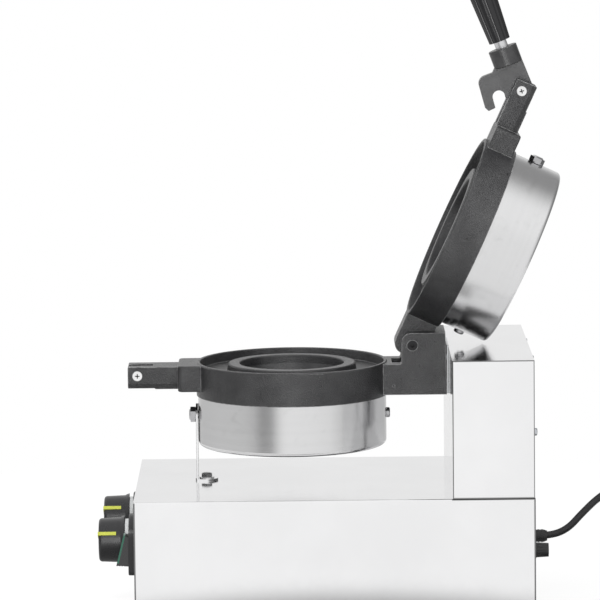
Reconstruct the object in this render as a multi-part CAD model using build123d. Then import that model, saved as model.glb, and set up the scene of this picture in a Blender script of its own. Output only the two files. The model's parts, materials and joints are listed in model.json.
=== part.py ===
"""A countertop press for round sealed burgers, with a hinged heated lid and a hook latch.

Millimetres. +X is the operator's right, -Y the front, +Z up. The origin is on the table,
under the middle of the base. The lid is drawn closed and then opened about the hinge pin.
"""
import os
from collections import namedtuple
from math import cos, pi, radians, sin, sqrt, tan

from build123d import *

# base
base_width = 254.0
base_length = 380.0
base_height = 114.0
foot_height = 16.0
foot_radius = 17.0
foot_inset_x = 30.0
foot_inset_y = 32.0
sheet = 1.2
bend_radius = 2.2
panel_gap = 0.2
flange_width = 14.0

# tower on the rear of the base
tower_front = 112.0
tower_depth = 77.4
tower_height = 131.6

# moulds, measured from the plane where the two halves meet
mate_height = 116.3
mould_centre_y = -39.0
mould_radius = 92.5
mould_height = 32.3
rim_wall = 3.6
trough_depth = 9.0
ring_outer = 61.3
ring_inner = 50.6
ring_drop = 1.7
bowl_depth = 22.0
mould_floor = 8.0
skirt_wall = 8.0
lid_gap = 0.3

# heater cans
lower_can_inset = 1.3
upper_can_inset = 3.7
lower_can_radius = mould_radius - lower_can_inset
upper_can_radius = mould_radius - upper_can_inset
upper_can_shift = -2.0
can_height = 48.6
can_wall = 1.0
can_corner = 4.0
lower_screw_drop = 52.0
upper_screw_drop = 54.0
can_screw_lug = 18.0
element_radius = 3.4
element_ring = 44.0
insulation_height = 14.0

# hinge
hinge_y = 77.3
hinge_height = 133.2
hinge_pin_radius = 5.0
hinge_width = 58.0
knuckle_width = 29.4
knuckle_drop = 16.2
web_reach = 23.0
cheek_gap = 30.0
cheek_front = 66.8
cheek_rear = 110.2
cheek_top = 145.2
cheek_bottom = 85.4
open_angle = 114.8
running_gap = 0.05

# latch
latch_y = -188.2
pin_offset = 11.6
latch_pin_radius = 4.5
pin_head_radius = 4.85
arm_width = 34.0
arm_near = 3.0
arm_far = 23.8
arm_tip = 9.3
arm_step = 17.0
arm_bevel = 4.5
boss_width = 60.0
boss_front = 39.3
slot_width = 12.0
lower_slot_end = 15.0
upper_slot_end = 39.2
hook_thick = 10.0
hook_play = 0.2
notch_width = 12.0
lever_rest = 40.0
lever_lift = 35.0

# handle
handle_drop = 5.0
collar_radius = 14.0
collar_start = 26.8
collar_length = 17.4
collar_offset = 4.9
stud_radius = 6.2
stud_gap = 6.9
grip_length = 112.0
grip_start_radius = 10.4
grip_end_radius = 14.5
grip_flutes = 10

# controls on the front panel
knob_drop = 47.0
knob_x = 62.0
knob_radius = 21.6
knob_skirt = 23.4
knob_length = 24.7
bezel_radius = 25.0
bezel_thick = 6.6
scale_radius = 20.2
scale_thick = 3.8
shaft_radius = 3.0
bush_radius = 5.0
thermostat_angle = 26.0
timer_angle = 35.0
pointer_width = 3.4
pointer_length = 17.0

# rocker switch
switch_x = 100.5
switch_drop = 52.5
switch_width = 25.0
switch_tall = 41.0
switch_rim = 6.0
rocker_width = 17.0
rocker_half = 15.0
rocker_front = 13.4
rocker_tilt = 13.8

# rear fittings and cord
relief_drop = 59.0
relief_reach = 17.6
relief_radius = 6.3
fuse_x = 75.0
fuse_reach = 14.8
fuse_radius = 8.0
cord_radius = 3.5
cord_seat = 6.0

# sizes that follow from the ones above
half_width = base_width / 2
half_length = base_length / 2
deck = foot_height + base_height
mate = deck + mate_height
hinge_z = deck + hinge_height
tower_rear = tower_front + tower_depth
tower_top = deck + tower_height
mould_bottom = mate - mould_height
can_bottom = mould_bottom - can_height
lower_can_front = mould_centre_y - lower_can_radius
lower_pin_z = mate - pin_offset
upper_pin_z = mate + lid_gap + pin_offset
shell_bottom = foot_height + sheet
inner_half = half_width - sheet
front_y = -half_length
rear_y = half_length

Half = namedtuple("Half", "can_radius can_y screw_drop slot_end boss_near boss_far")
lower_half = Half(lower_can_radius, mould_centre_y, lower_screw_drop, lower_slot_end, 0.9, 26.0)
upper_can_y = mould_centre_y + upper_can_shift
upper_can_front = upper_can_y - upper_can_radius
upper_half = Half(upper_can_radius, upper_can_y, upper_screw_drop, upper_slot_end, 3.3, 28.6)


def block(x0, x1, y0, y1, z0, z1):
    """A box between two corners."""
    middle = Pos((x0 + x1) / 2, (y0 + y1) / 2, (z0 + z1) / 2)
    return middle * Box(abs(x1 - x0), abs(y1 - y0), abs(z1 - z0))


def rod(radius, start, end):
    """A round bar from one point to another."""
    run = Vector(*end) - Vector(*start)
    place = Plane(origin=start, z_dir=run)
    return place * Cylinder(radius, run.length, align=(Align.CENTER, Align.CENTER, Align.MIN))


def cone(radius_a, radius_b, start, end):
    """A tapered round bar from one point to another."""
    run = Vector(*end) - Vector(*start)
    place = Plane(origin=start, z_dir=run)
    return place * Cone(radius_a, radius_b, run.length, align=(Align.CENTER, Align.CENTER, Align.MIN))


def hexagon(across, start, end):
    """A hexagonal bar from one point to another, by its size across flats."""
    run = Vector(*end) - Vector(*start)
    outline = Plane(origin=start, z_dir=run) * RegularPolygon(across / sqrt(3), 6)
    return extrude(outline, run.length)


def side_plate(points, x0, x1):
    """A plate cut to an outline of (y, z) points, between two X planes."""
    outline = Polyline(*[(0, y, z) for y, z in points], close=True)
    return extrude(make_face(outline), x1 - x0, dir=(1, 0, 0)).moved(Location((x0, 0, 0)))


def flip_up(shape):
    """Turns a lower-half shape over into the closed lid's place."""
    return mirror(shape, Plane.XY.offset(mate + lid_gap / 2))


def open_lid(shape):
    """Moves a piece of the closed lid to the open rest pose."""
    return shape.rotate(Axis((0, hinge_y, hinge_z), (1, 0, 0)), -open_angle)


def swing_lever(shape):
    """Moves a piece of the locked lever to its rest pose on the open lid."""
    turned = shape.rotate(Axis((0, latch_y, upper_pin_z), (1, 0, 0)), lever_rest)
    return open_lid(turned)


def pieces(shapes):
    """Separate solids that share one node."""
    return Compound(children=list(shapes))


# base


def corner_places():
    """Centres of the four feet."""
    x = half_width - foot_inset_x
    y = half_length - foot_inset_y
    return [(sx * x, sy * y) for sx in (-1, 1) for sy in (-1, 1)]


plate_screw_radius = 1.75
plate_screw_places = [(sx * (inner_half - flange_width / 2), y) for sx in (-1, 1) for y in (-95, 0, 95)]
foot_screw_radius = 2.5
tower_bolt_radius = 3.0
tower_bolt_places = [(sx * (inner_half - flange_width / 2), y) for sx in (-1, 1) for y in (128, 166)]
strap_bolt_inset = 7.5
strap_bolt_y = lower_can_front + strap_bolt_inset
strap_bolt_radius = 3.0
strap_width = 22.0
strap_thick = 2.0
bracket_thick = 4.0
bracket_half = 62.0
bracket_height = 118.0
bracket_foot = 34.0
bracket_bolt_places = [(sx * 40, tower_front + sheet + 22) for sx in (-1, 1)]
hinge_bolt_radius = 4.0
hinge_bolt_x = 22.0
hinge_bolt_heights = (97.0, 121.0)
hole_gap = 0.2


def base_shell():
    outer = block(-half_width, half_width, front_y, rear_y, shell_bottom, deck)
    outer = fillet(outer.edges().filter_by(Axis.Y).group_by(Axis.Z)[-1], bend_radius)
    inner = block(-inner_half, inner_half, front_y - 1, rear_y + 1, shell_bottom - 1, deck - sheet)
    inner = fillet(inner.edges().filter_by(Axis.Y).group_by(Axis.Z)[-1], bend_radius - sheet)
    shell = outer - inner
    for side in (-1, 1):
        near = side * inner_half
        far = side * (inner_half - flange_width)
        flange = block(
            min(near, far),
            max(near, far),
            front_y + 20,
            rear_y - 20,
            shell_bottom,
            shell_bottom + sheet,
        )
        shell += flange
    for x, y in plate_screw_places:
        shell -= rod(
            plate_screw_radius + hole_gap, (x, y, shell_bottom - 1), (x, y, shell_bottom + sheet + 1)
        )
    for x, y in tower_bolt_places:
        shell -= rod(tower_bolt_radius + hole_gap, (x, y, deck - sheet - 1), (x, y, deck + 1))
    for x, y in bracket_bolt_places:
        shell -= rod(tower_bolt_radius + hole_gap, (x, y, deck - sheet - 1), (x, y, deck + 1))
    shell -= rod(
        strap_bolt_radius + hole_gap,
        (0, strap_bolt_y, deck - sheet - 1),
        (0, strap_bolt_y, deck + 1),
    )
    shell -= block(-30, 30, 155, 180, deck - sheet - 1, deck + 1)
    return shell


def tray(y_face, direction):
    """A shallow folded panel whose face closes one end of the base."""
    back = y_face + direction * flange_width
    wide = inner_half - panel_gap
    low = shell_bottom + sheet + panel_gap
    high = deck - sheet - panel_gap
    outer = block(-wide, wide, min(y_face, back), max(y_face, back), low, high)
    outer = fillet(outer.edges().filter_by(Axis.Y), bend_radius)
    face_edges = outer.edges().filter_by_position(Axis.Y, y_face - 0.1, y_face + 0.1)
    outer = fillet(face_edges, bend_radius - 0.7)
    cut_near = y_face + direction * sheet
    cut_far = back + direction
    inner = block(
        -wide + sheet,
        wide - sheet,
        min(cut_near, cut_far),
        max(cut_near, cut_far),
        low + sheet,
        high - sheet,
    )
    return outer - inner


def front_panel():
    panel = tray(front_y, 1)
    z = deck - knob_drop
    for x in (-knob_x, knob_x):
        panel -= rod(bush_radius + hole_gap, (x, front_y - 1, z), (x, front_y + sheet + 1, z))
    hole_x = rocker_width / 2 + 2.6
    hole_z = rocker_half + 0.9
    z = deck - switch_drop
    panel -= block(
        switch_x - hole_x,
        switch_x + hole_x,
        front_y - 1,
        front_y + sheet + 1,
        z - hole_z,
        z + hole_z,
    )
    return panel


def rear_panel():
    panel = tray(rear_y, -1)
    z = deck - relief_drop
    panel -= rod(relief_radius + hole_gap, (0, rear_y - sheet - 1, z), (0, rear_y + 1, z))
    panel -= rod(fuse_radius - 2 + hole_gap, (fuse_x, rear_y - sheet - 1, z), (fuse_x, rear_y + 1, z))
    return panel


def bottom_plate():
    plate = block(-half_width + 1, half_width - 1, front_y + 1, rear_y - 1, foot_height, foot_height + sheet)
    for x, y in plate_screw_places:
        plate -= rod(plate_screw_radius + hole_gap, (x, y, foot_height - 1), (x, y, shell_bottom + 1))
    for x, y in corner_places():
        plate -= rod(foot_screw_radius + hole_gap, (x, y, foot_height - 1), (x, y, shell_bottom + 1))
    for row in range(3):
        for column in range(7):
            x = -54 + column * 18
            y = -30 + row * 60
            plate -= block(x - 2.5, x + 2.5, y - 20, y + 20, foot_height - 1, shell_bottom + 1)
    return plate


foot_recess = 8.0


def rubber_feet():
    feet = []
    for x, y in corner_places():
        foot = Pos(x, y, 0) * Cone(
            foot_radius - 2, foot_radius, foot_height, align=(Align.CENTER, Align.CENTER, Align.MIN)
        )
        foot = fillet(foot.edges().group_by(Axis.Z)[0], 1.5)
        foot -= rod(6.5, (x, y, -1), (x, y, foot_recess))
        foot -= rod(foot_screw_radius + hole_gap, (x, y, foot_recess - 1), (x, y, foot_height + 1))
        feet.append(foot)
    return pieces(feet)


def foot_screws():
    screws = []
    top = shell_bottom + 8
    for x, y in corner_places():
        head = rod(4.6, (x, y, foot_recess - 3), (x, y, foot_recess))
        head -= block(x - 3, x + 3, y - 0.6, y + 0.6, foot_recess - 4, foot_recess - 2)
        screws.append(head + rod(foot_screw_radius, (x, y, foot_recess), (x, y, top)))
    return pieces(screws)


def foot_nuts():
    nuts = []
    for x, y in corner_places():
        nut = hexagon(8, (x, y, shell_bottom), (x, y, shell_bottom + 4))
        nuts.append(
            nut - rod(foot_screw_radius + running_gap, (x, y, shell_bottom - 1), (x, y, shell_bottom + 5))
        )
    return pieces(nuts)


def pan_screw(radius, head_radius, head_height, seat, direction, length):
    """A pan-head screw with a slot. direction points from the head along the shank."""
    along = Vector(*direction)
    seat = Vector(*seat)
    head = rod(head_radius, seat, (seat - along * head_height))
    outer_edges = head.edges().sort_by(lambda edge: (edge.center() - seat).dot(along))[0:1]
    head = fillet(outer_edges, head_height * 0.45)
    across = Vector(1, 0, 0) if abs(along.X) < 0.5 else Vector(0, 1, 0)
    place = Plane(origin=(seat - along * head_height), x_dir=across, z_dir=along)
    head -= place * Box(
        head_radius * 1.3,
        head_radius * 0.25,
        head_height,
        align=(Align.CENTER, Align.CENTER, Align.CENTER),
    )
    return head + rod(radius, seat, (seat + along * length))


def plate_screws():
    screws = []
    for x, y in plate_screw_places:
        screws.append(pan_screw(plate_screw_radius, 3.4, 2.0, (x, y, foot_height), (0, 0, 1), 6.0))
    return pieces(screws)


# tower

cover_screw_radius = 1.75
cover_seat = tower_rear - sheet
cover_screw_places = [
    (-inner_half + flange_width / 2, deck + 62.3),
    (inner_half - flange_width / 2, deck + 62.3),
    (-60, tower_top - sheet - flange_width / 2),
    (60, tower_top - sheet - flange_width / 2),
]


def tower_shell():
    outer = block(-half_width, half_width, tower_front, tower_rear, deck, tower_top)
    top_edges = outer.edges().filter_by(Axis.Y).group_by(Axis.Z)[-1]
    front_edges = outer.edges().filter_by(Axis.Z).group_by(Axis.Y)[0]
    outer = fillet(top_edges + front_edges, 1.0)
    wall = tower_front + sheet
    inner = block(-inner_half, inner_half, wall, tower_rear + 1, deck - 1, tower_top - sheet)
    shell = outer - inner
    lip = cover_seat - sheet
    for side in (-1, 1):
        a = min(side * inner_half, side * (inner_half - flange_width))
        b = max(side * inner_half, side * (inner_half - flange_width))
        shell += block(a, b, wall, lip - 4, deck, deck + sheet)
        shell += block(a, b, lip, cover_seat, deck + 20, tower_top - sheet)
    shell += block(
        -inner_half, inner_half, lip, cover_seat, tower_top - sheet - flange_width, tower_top - sheet
    )
    shell += block(-inner_half, inner_half, wall, wall + flange_width, deck, deck + sheet)
    for x, z in cover_screw_places:
        shell -= rod(cover_screw_radius + hole_gap, (x, lip - 1, z), (x, tower_rear, z))
    for x, y in tower_bolt_places:
        shell -= rod(tower_bolt_radius + hole_gap, (x, y, deck - 1), (x, y, deck + sheet + 1))
    for side in (-1, 1):
        for height in hinge_bolt_heights:
            x = side * hinge_bolt_x
            z = deck + height
            shell -= rod(hinge_bolt_radius + hole_gap, (x, tower_front - 1, z), (x, wall + 1, z))
    shell -= rod(9, (0, tower_front - 1, deck + 99), (0, wall + 1, deck + 99))
    return shell


def tower_rear_cover():
    wide = inner_half - panel_gap
    cover = block(-wide, wide, cover_seat, tower_rear, deck + panel_gap, tower_top - sheet - panel_gap)
    for x, z in cover_screw_places:
        cover -= rod(cover_screw_radius + hole_gap, (x, cover_seat - 1, z), (x, tower_rear + 1, z))
    return cover


def tower_cover_screws():
    screws = []
    for x, z in cover_screw_places:
        screws.append(pan_screw(cover_screw_radius, 3.6, 2.8, (x, tower_rear, z), (0, -1, 0), 8.0))
    return pieces(screws)


def deck_bolt(x, y, grip_top):
    """A hexagon bolt from under the deck, and its nut on top of what it clamps."""
    under = deck - sheet
    bolt = hexagon(10, (x, y, under - 4), (x, y, under)) + rod(
        tower_bolt_radius, (x, y, under), (x, y, grip_top + 7)
    )
    nut = hexagon(10, (x, y, grip_top), (x, y, grip_top + 5))
    nut -= rod(tower_bolt_radius + running_gap, (x, y, grip_top - 1), (x, y, grip_top + 6))
    return [bolt, nut]


def tower_bolts():
    parts = []
    for x, y in tower_bolt_places:
        parts += deck_bolt(x, y, deck + sheet)
    return pieces(parts)


def hinge_bracket():
    """A folded steel angle inside the tower that carries both moulds."""
    front = tower_front + sheet
    low = deck + sheet
    bracket = block(-bracket_half, bracket_half, front, front + bracket_thick, low, low + bracket_height)
    foot_start = front + flange_width + 0.5
    bracket += block(-bracket_half, bracket_half, front, front + bracket_foot, low, low + bracket_thick)
    bracket += block(
        -bracket_half, bracket_half, foot_start, front + bracket_foot, deck, low + bracket_thick
    )
    reach = front + bracket_foot
    for x in (-bracket_half, bracket_half - bracket_thick):
        gusset = [
            (front + 1, low + 1),
            (reach, low + 1),
            (reach, low + 20),
            (front + 12, low + bracket_height),
            (front + 1, low + bracket_height),
        ]
        bracket += side_plate(gusset, x, x + bracket_thick)
    for x, y in bracket_bolt_places:
        bracket -= rod(tower_bolt_radius + hole_gap, (x, y, deck - 1), (x, y, low + bracket_thick + 1))
    for side in (-1, 1):
        for height in hinge_bolt_heights:
            x = side * hinge_bolt_x
            z = deck + height
            bracket -= rod(
                hinge_bolt_radius + hole_gap, (x, front - 1, z), (x, front + bracket_thick + 1, z)
            )
    bracket -= rod(9, (0, front - 1, deck + 99), (0, front + bracket_thick + 1, deck + 99))
    return bracket


def bracket_bolts():
    parts = []
    for x, y in bracket_bolt_places:
        parts += deck_bolt(x, y, deck + sheet + bracket_thick)
    return pieces(parts)


def hinge_spacer():
    """A plate between the lower casting and the tower's front wall."""
    half = hinge_width / 2 - 1.5
    plate = block(-half, half, cheek_rear, tower_front, deck + cheek_bottom + 1, deck + cheek_top - 12)
    for side in (-1, 1):
        for height in hinge_bolt_heights:
            x = side * hinge_bolt_x
            z = deck + height
            plate -= rod(hinge_bolt_radius + hole_gap, (x, cheek_rear - 1, z), (x, tower_front + 1, z))
    plate -= rod(9, (0, cheek_rear - 1, deck + 99), (0, tower_front + 1, deck + 99))
    return plate


hinge_bolt_depth = 19.0


def hinge_bolts():
    bolts = []
    seat = tower_front + sheet + bracket_thick
    for side in (-1, 1):
        for height in hinge_bolt_heights:
            x = side * hinge_bolt_x
            z = deck + height
            head = hexagon(13, (x, seat, z), (x, seat + 5.3, z))
            bolts.append(
                head + rod(hinge_bolt_radius, (x, seat, z), (x, cheek_rear - hinge_bolt_depth + 1, z))
            )
    return pieces(bolts)


# moulds


def mould_profile():
    """Half section of the lower mould, as (radius, height) points."""
    under = bowl_depth + mould_floor
    inside = mould_radius - skirt_wall
    ceiling = trough_depth + mould_floor
    return [
        (0, -bowl_depth),
        (ring_inner - 14, -bowl_depth),
        (ring_inner - 5, -bowl_depth + 5),
        (ring_inner - 1.2, -ring_drop - 8),
        (ring_inner, -ring_drop),
        (ring_outer, -ring_drop),
        (ring_outer + 1.5, -trough_depth),
        (mould_radius - rim_wall - 1.2, -trough_depth),
        (mould_radius - rim_wall, 0),
        (mould_radius, 0),
        (mould_radius, -mould_height),
        (inside, -mould_height),
        (inside, -ceiling),
        (ring_outer + 4, -ceiling),
        (ring_outer - 4, -under),
        (0, -under),
    ]


def mould_bowl():
    outline = Polyline(*[(r, 0, z) for r, z in mould_profile()], close=True)
    bowl = revolve(make_face(outline), Axis.Z, 360)
    rim = bowl.edges().filter_by(GeomType.CIRCLE).filter_by_position(Axis.Z, -0.1, 0.1)
    bowl = fillet(rim, 1.2)
    crest = bowl.edges().filter_by(GeomType.CIRCLE).filter_by_position(
        Axis.Z, -ring_drop - 0.1, -ring_drop + 0.1
    )
    bowl = fillet(crest, 1.5)
    floor = bowl.edges().filter_by(GeomType.CIRCLE).filter_by_position(
        Axis.Z, -bowl_depth - 0.1, -bowl_depth + 0.1
    )
    bowl = fillet(floor, 6.0)
    return bowl.moved(Location((0, mould_centre_y, mate)))


def screw_lug(half, side):
    """A lug inside the can that the can's screw threads into. side is -1 at the front."""
    outer = half.can_y + side * (half.can_radius - can_wall - 1.4)
    inner = outer - side * 12
    top = mate - trough_depth - mould_floor + 1
    wide = can_screw_lug / 2
    return block(-wide, wide, min(inner, outer), max(inner, outer), mate - half.screw_drop - wide, top)


front_screw_radius = 4.0
rear_screw_radius = 2.5


def screw_hole(half, side, radius):
    """The hole through the can wall and into the lug."""
    start = half.can_y + side * (half.can_radius - 14.5)
    end = half.can_y + side * (half.can_radius + 1)
    z = mate - half.screw_drop
    return rod(radius, (0, start, z), (0, end, z))


def latch_arm(mould_half):
    """The fork that reaches forward from a mould, with its boss."""
    low = mate - arm_far
    high = mate - arm_near
    tip = latch_y - arm_tip
    half = arm_width / 2
    boss_start = latch_y + boss_front
    ring_edge = mould_centre_y - mould_radius
    arm = block(-half, half, tip, boss_start + 1, low, high)
    arm = chamfer(arm.edges().filter_by(Axis.Y).group_by(Axis.Z)[0], arm_bevel, 1.6)
    tip_edges = arm.edges().filter_by(Axis.X).group_by(Axis.Y)[0]
    arm = fillet(tip_edges, 1.0)
    step = block(-half + 1.6, half - 1.6, latch_y + arm_step, boss_start + 1, low - 1.0, low + 1)
    arm += fillet(step.edges().filter_by(Axis.Y).group_by(Axis.Z)[0], 0.8)
    wide = boss_width / 2
    boss_low = mate - mould_half.boss_far
    boss = block(-wide, wide, boss_start, ring_edge + 8, boss_low, mate - mould_half.boss_near)
    boss = fillet(boss.edges().filter_by(Axis.Z).group_by(Axis.Y)[0], 5.0)
    boss = fillet(boss.edges().filter_by(Axis.X).group_by(Axis.Y)[0], 1.5)
    bore = rod(mould_radius - rim_wall + 1, (0, mould_centre_y, mate - 40), (0, mould_centre_y, mate + 1))
    arm += boss - bore
    slot = slot_width / 2
    arm -= block(-slot, slot, tip - 1, latch_y + mould_half.slot_end, low - 2, high + 1)
    return arm - rod(
        latch_pin_radius + running_gap,
        (-half - 1, latch_y, lower_pin_z),
        (half + 1, latch_y, lower_pin_z),
    )


def rear_lug():
    """The lower casting's rear: two cheeks with a web behind and below the knuckle."""
    wide = hinge_width / 2
    gap = cheek_gap / 2
    low = deck + cheek_bottom
    top = deck + cheek_top
    shelf = mate - 1.2
    start = mould_centre_y + mould_radius - 8
    outline = [
        (start, low),
        (cheek_rear, low),
        (cheek_rear - 1.2, top),
        (cheek_front, top),
        (cheek_front, shelf),
        (start, shelf),
    ]
    lug = side_plate(outline, -wide, wide)
    corner = lug.edges().filter_by(Axis.X).filter_by_position(Axis.Y, cheek_front - 0.1, cheek_front + 0.1)
    lug = fillet(corner.sort_by(Axis.Z)[-1:], 9.0)
    corner = lug.edges().filter_by(Axis.X).filter_by_position(Axis.Y, cheek_front - 0.1, cheek_front + 0.1)
    lug = fillet(corner.filter_by_position(Axis.Z, shelf - 0.1, shelf + 0.1), 2.0)
    pocket_floor = mate - 8.5
    pocket_rear = hinge_y + web_reach
    pocket = block(-gap, gap, mould_centre_y + mould_radius + 4, pocket_rear, pocket_floor, top + 1)
    pocket = fillet(pocket.edges().filter_by(Axis.X).group_by(Axis.Z)[0].group_by(Axis.Y)[-1], 8.0)
    lug -= pocket
    bore = rod(mould_radius - rim_wall + 0.6, (0, mould_centre_y, deck), (0, mould_centre_y, mate + 1))
    lug -= bore
    lug -= rod(hinge_pin_radius + 0.02, (-wide - 1, hinge_y, hinge_z), (wide + 1, hinge_y, hinge_z))
    for side in (-1, 1):
        for height in hinge_bolt_heights:
            x = side * hinge_bolt_x
            z = deck + height
            lug -= rod(
                hinge_bolt_radius + running_gap,
                (x, cheek_rear - hinge_bolt_depth, z),
                (x, cheek_rear + 1, z),
            )
    lug -= rod(9, (0, pocket_rear - 1, deck + 99), (0, cheek_rear + 1, deck + 99))
    set_screw_z = deck + 94
    lug -= rod(1.2, (wide - 4, 59, set_screw_z), (wide + 1, 59, set_screw_z))
    return lug


def mould_with_fork(half):
    """What both castings share: bowl, fork and the lugs for the can's screws."""
    mould = mould_bowl() + latch_arm(half)
    for side in (-1, 1):
        mould += screw_lug(half, side)
    mould -= screw_hole(half, -1, front_screw_radius + running_gap)
    return mould - screw_hole(half, 1, rear_screw_radius + running_gap)


def lower_mould():
    return mould_with_fork(lower_half) + rear_lug()


def knuckle():
    """The closed lid's rear lug, drawn upright, with its nose round the hinge pin."""
    half = knuckle_width / 2
    start = mould_centre_y + mould_radius - 8
    nose = hinge_y + 12.6
    low = hinge_z - knuckle_drop
    high = mate + lid_gap + mould_height - 0.6
    back = hinge_z + 9.0
    outline = [(start, low), (nose, low), (nose, back), (hinge_y - 5, high), (start, high)]
    lug = side_plate(outline, -half, half)
    rear_edges = lug.edges().filter_by(Axis.X).filter_by_position(Axis.Y, nose - 0.1, nose + 0.1)
    lug = fillet(rear_edges, 10.0)
    bore = rod(mould_radius - rim_wall + 0.6, (0, mould_centre_y, deck), (0, mould_centre_y, mate + 100))
    lug -= bore
    return lug - rod(
        hinge_pin_radius + running_gap, (-half - 1, hinge_y, hinge_z), (half + 1, hinge_y, hinge_z)
    )


def upper_mould():
    return open_lid(flip_up(mould_with_fork(upper_half)) + knuckle())


# heater cans


def heater_can(half):
    outer = rod(half.can_radius, (0, half.can_y, can_bottom), (0, half.can_y, mould_bottom))
    outer = fillet(outer.edges().group_by(Axis.Z)[0], can_corner)
    bottom = can_bottom + can_wall
    inner = rod(half.can_radius - can_wall, (0, half.can_y, bottom), (0, half.can_y, mould_bottom + 1))
    inner = fillet(inner.edges().group_by(Axis.Z)[0], can_corner - can_wall)
    can = outer - inner
    z = mate - half.screw_drop
    front = half.can_y - half.can_radius
    rear = half.can_y + half.can_radius
    can -= rod(front_screw_radius + hole_gap, (0, front - 1, z), (0, front + 3, z))
    return can - rod(rear_screw_radius + hole_gap, (0, rear + 1, z), (0, rear - 3, z))


def heating_element():
    """A tubular ring under the bowl, with two legs that turn down."""
    z = mate - bowl_depth - mould_floor - element_radius - 0.2
    legs = []
    for side in (-1, 1):
        angle = radians(90 + side * 20)
        x = element_ring * cos(angle)
        y = mould_centre_y + element_ring * sin(angle)
        legs.append(rod(element_radius - 0.4, (x, y, z), (x, y, z - 14)))
        legs.append(rod(1.6, (x, y, z - 14), (x, y, z - 19)))
    section = Plane.XZ * Pos(element_ring, 0) * Circle(element_radius)
    ring = revolve(section, Axis.Z, 330)
    ring = ring.rotate(Axis.Z, 105).moved(Location((0, mould_centre_y, z)))
    for leg in legs:
        ring += leg
    return ring


def insulation(half):
    floor = can_bottom + can_wall
    disc = rod(
        half.can_radius - can_wall - 0.8,
        (0, half.can_y, floor),
        (0, half.can_y, floor + insulation_height),
    )
    disc = fillet(disc.edges().group_by(Axis.Z)[0], can_corner)
    y = mould_centre_y + element_ring
    return disc - block(-22, 22, y - 12, y + 8, floor - 1, floor + insulation_height + 1)


def sensor_bulb():
    """The thermostat's round bulb, held under the bowl by a spring clip."""
    z = mate - bowl_depth - mould_floor - 3.2
    y = mould_centre_y - 8
    bulb = rod(3.0, (-28, y, z), (28, y, z))
    bulb = fillet(bulb.edges(), 1.2)
    return bulb + rod(0.9, (28, y, z), (33, y, z))


def front_can_screw(half, seat_y):
    """The large hexagon screw with a domed end and its washer face."""
    z = mate - half.screw_drop
    thread_end = half.can_y - half.can_radius + 13
    head = hexagon(13, (0, seat_y - 5.4, z), (0, seat_y - 1.2, z))
    dome = cone(6.0, 4.4, (0, seat_y - 5.4, z), (0, seat_y - 6.6, z))
    washer = rod(7.5, (0, seat_y - 1.2, z), (0, seat_y, z))
    return head + dome + washer + rod(front_screw_radius, (0, seat_y, z), (0, thread_end, z))


def rear_can_screw(half):
    z = mate - half.screw_drop
    seat = half.can_y + half.can_radius + 0.15
    return pan_screw(rear_screw_radius, 5.0, 3.4, (0, seat, z), (0, -1, 0), 12.0)


strap_front = lower_can_front - 0.2 - strap_thick


def support_strap():
    """A thin flat strap from the can's front screw down to the deck, with a foot."""
    half = strap_width / 2
    z = mate - lower_screw_drop
    rear = strap_front + strap_thick
    strap = block(-half, half, strap_front, rear, deck, z)
    strap += rod(half, (0, strap_front, z), (0, rear, z))
    foot = block(-half, half, strap_front, strap_bolt_y, deck, deck + strap_thick)
    foot += rod(half, (0, strap_bolt_y, deck), (0, strap_bolt_y, deck + strap_thick))
    strap += foot
    bend = strap.edges().filter_by(Axis.X).filter_by_position(Axis.Z, deck - 0.1, deck + 0.1)
    strap = fillet(bend.sort_by(Axis.Y)[0:1], strap_thick * 0.9)
    strap -= rod(front_screw_radius + hole_gap, (0, strap_front - 1, z), (0, rear + 1, z))
    strap -= rod(strap_bolt_radius + hole_gap, (0, strap_bolt_y, deck - 1), (0, strap_bolt_y, deck + 3))
    return strap


def support_bolt():
    """The hexagon bolt through the strap's foot, its washer, and the nut under the deck."""
    y = strap_bolt_y
    top = deck + strap_thick
    under = deck - sheet
    washer = rod(7.2, (0, y, top), (0, y, top + 1.0))
    washer -= rod(strap_bolt_radius + running_gap, (0, y, top - 1), (0, y, top + 2))
    head = hexagon(10, (0, y, top + 1.0), (0, y, top + 4.2))
    cap = cone(4.6, 3.4, (0, y, top + 4.2), (0, y, top + 4.9))
    bolt = head + cap + rod(strap_bolt_radius, (0, y, top + 1.0), (0, y, under - 8))
    nut = hexagon(10, (0, y, under), (0, y, under - 5))
    nut -= rod(strap_bolt_radius + running_gap, (0, y, under + 1), (0, y, under - 6))
    return pieces([washer, bolt, nut])


# hinge and latch pins


def cross_recess(radius, x, y, z, direction):
    """The crossed slot in a pin's head."""
    depth = 1.0
    start = min(x, x - direction * depth)
    end = max(x, x - direction * depth)
    arms = block(start, end + 0.01, y - radius, y + radius, z - 0.5, z + 0.5)
    return arms + block(start, end + 0.01, y - 0.5, y + 0.5, z - radius, z + radius)


def hinge_pin():
    half = hinge_width / 2
    pin = rod(hinge_pin_radius, (-half, hinge_y, hinge_z), (half, hinge_y, hinge_z))
    for side in (-1, 1):
        pin -= hexagon(4, (side * (half + 1), hinge_y, hinge_z), (side * (half - 3), hinge_y, hinge_z))
    return pin


def latch_pin(z):
    """A pin across a fork, with a low round head at both ends."""
    half = arm_width / 2
    pin = rod(latch_pin_radius, (-half, latch_y, z), (half, latch_y, z))
    for side in (-1, 1):
        edge = side * half
        head = rod(pin_head_radius, (edge, latch_y, z), (edge + side * 1.2, latch_y, z))
        outer = head.edges().sort_by(lambda e: abs(e.center().X))[-1:]
        head = fillet(outer, 0.5)
        head -= cross_recess(2.2, edge + side * 1.2, latch_y, z, side)
        pin += head
    return pin


def lower_latch_pin():
    return latch_pin(lower_pin_z)


def upper_latch_pin():
    return swing_lever(latch_pin(upper_pin_z))


# hook lever, drawn locked, with the upper pin at its origin


def at_pin(shape):
    return shape.moved(Location((0, latch_y, upper_pin_z)))


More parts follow.
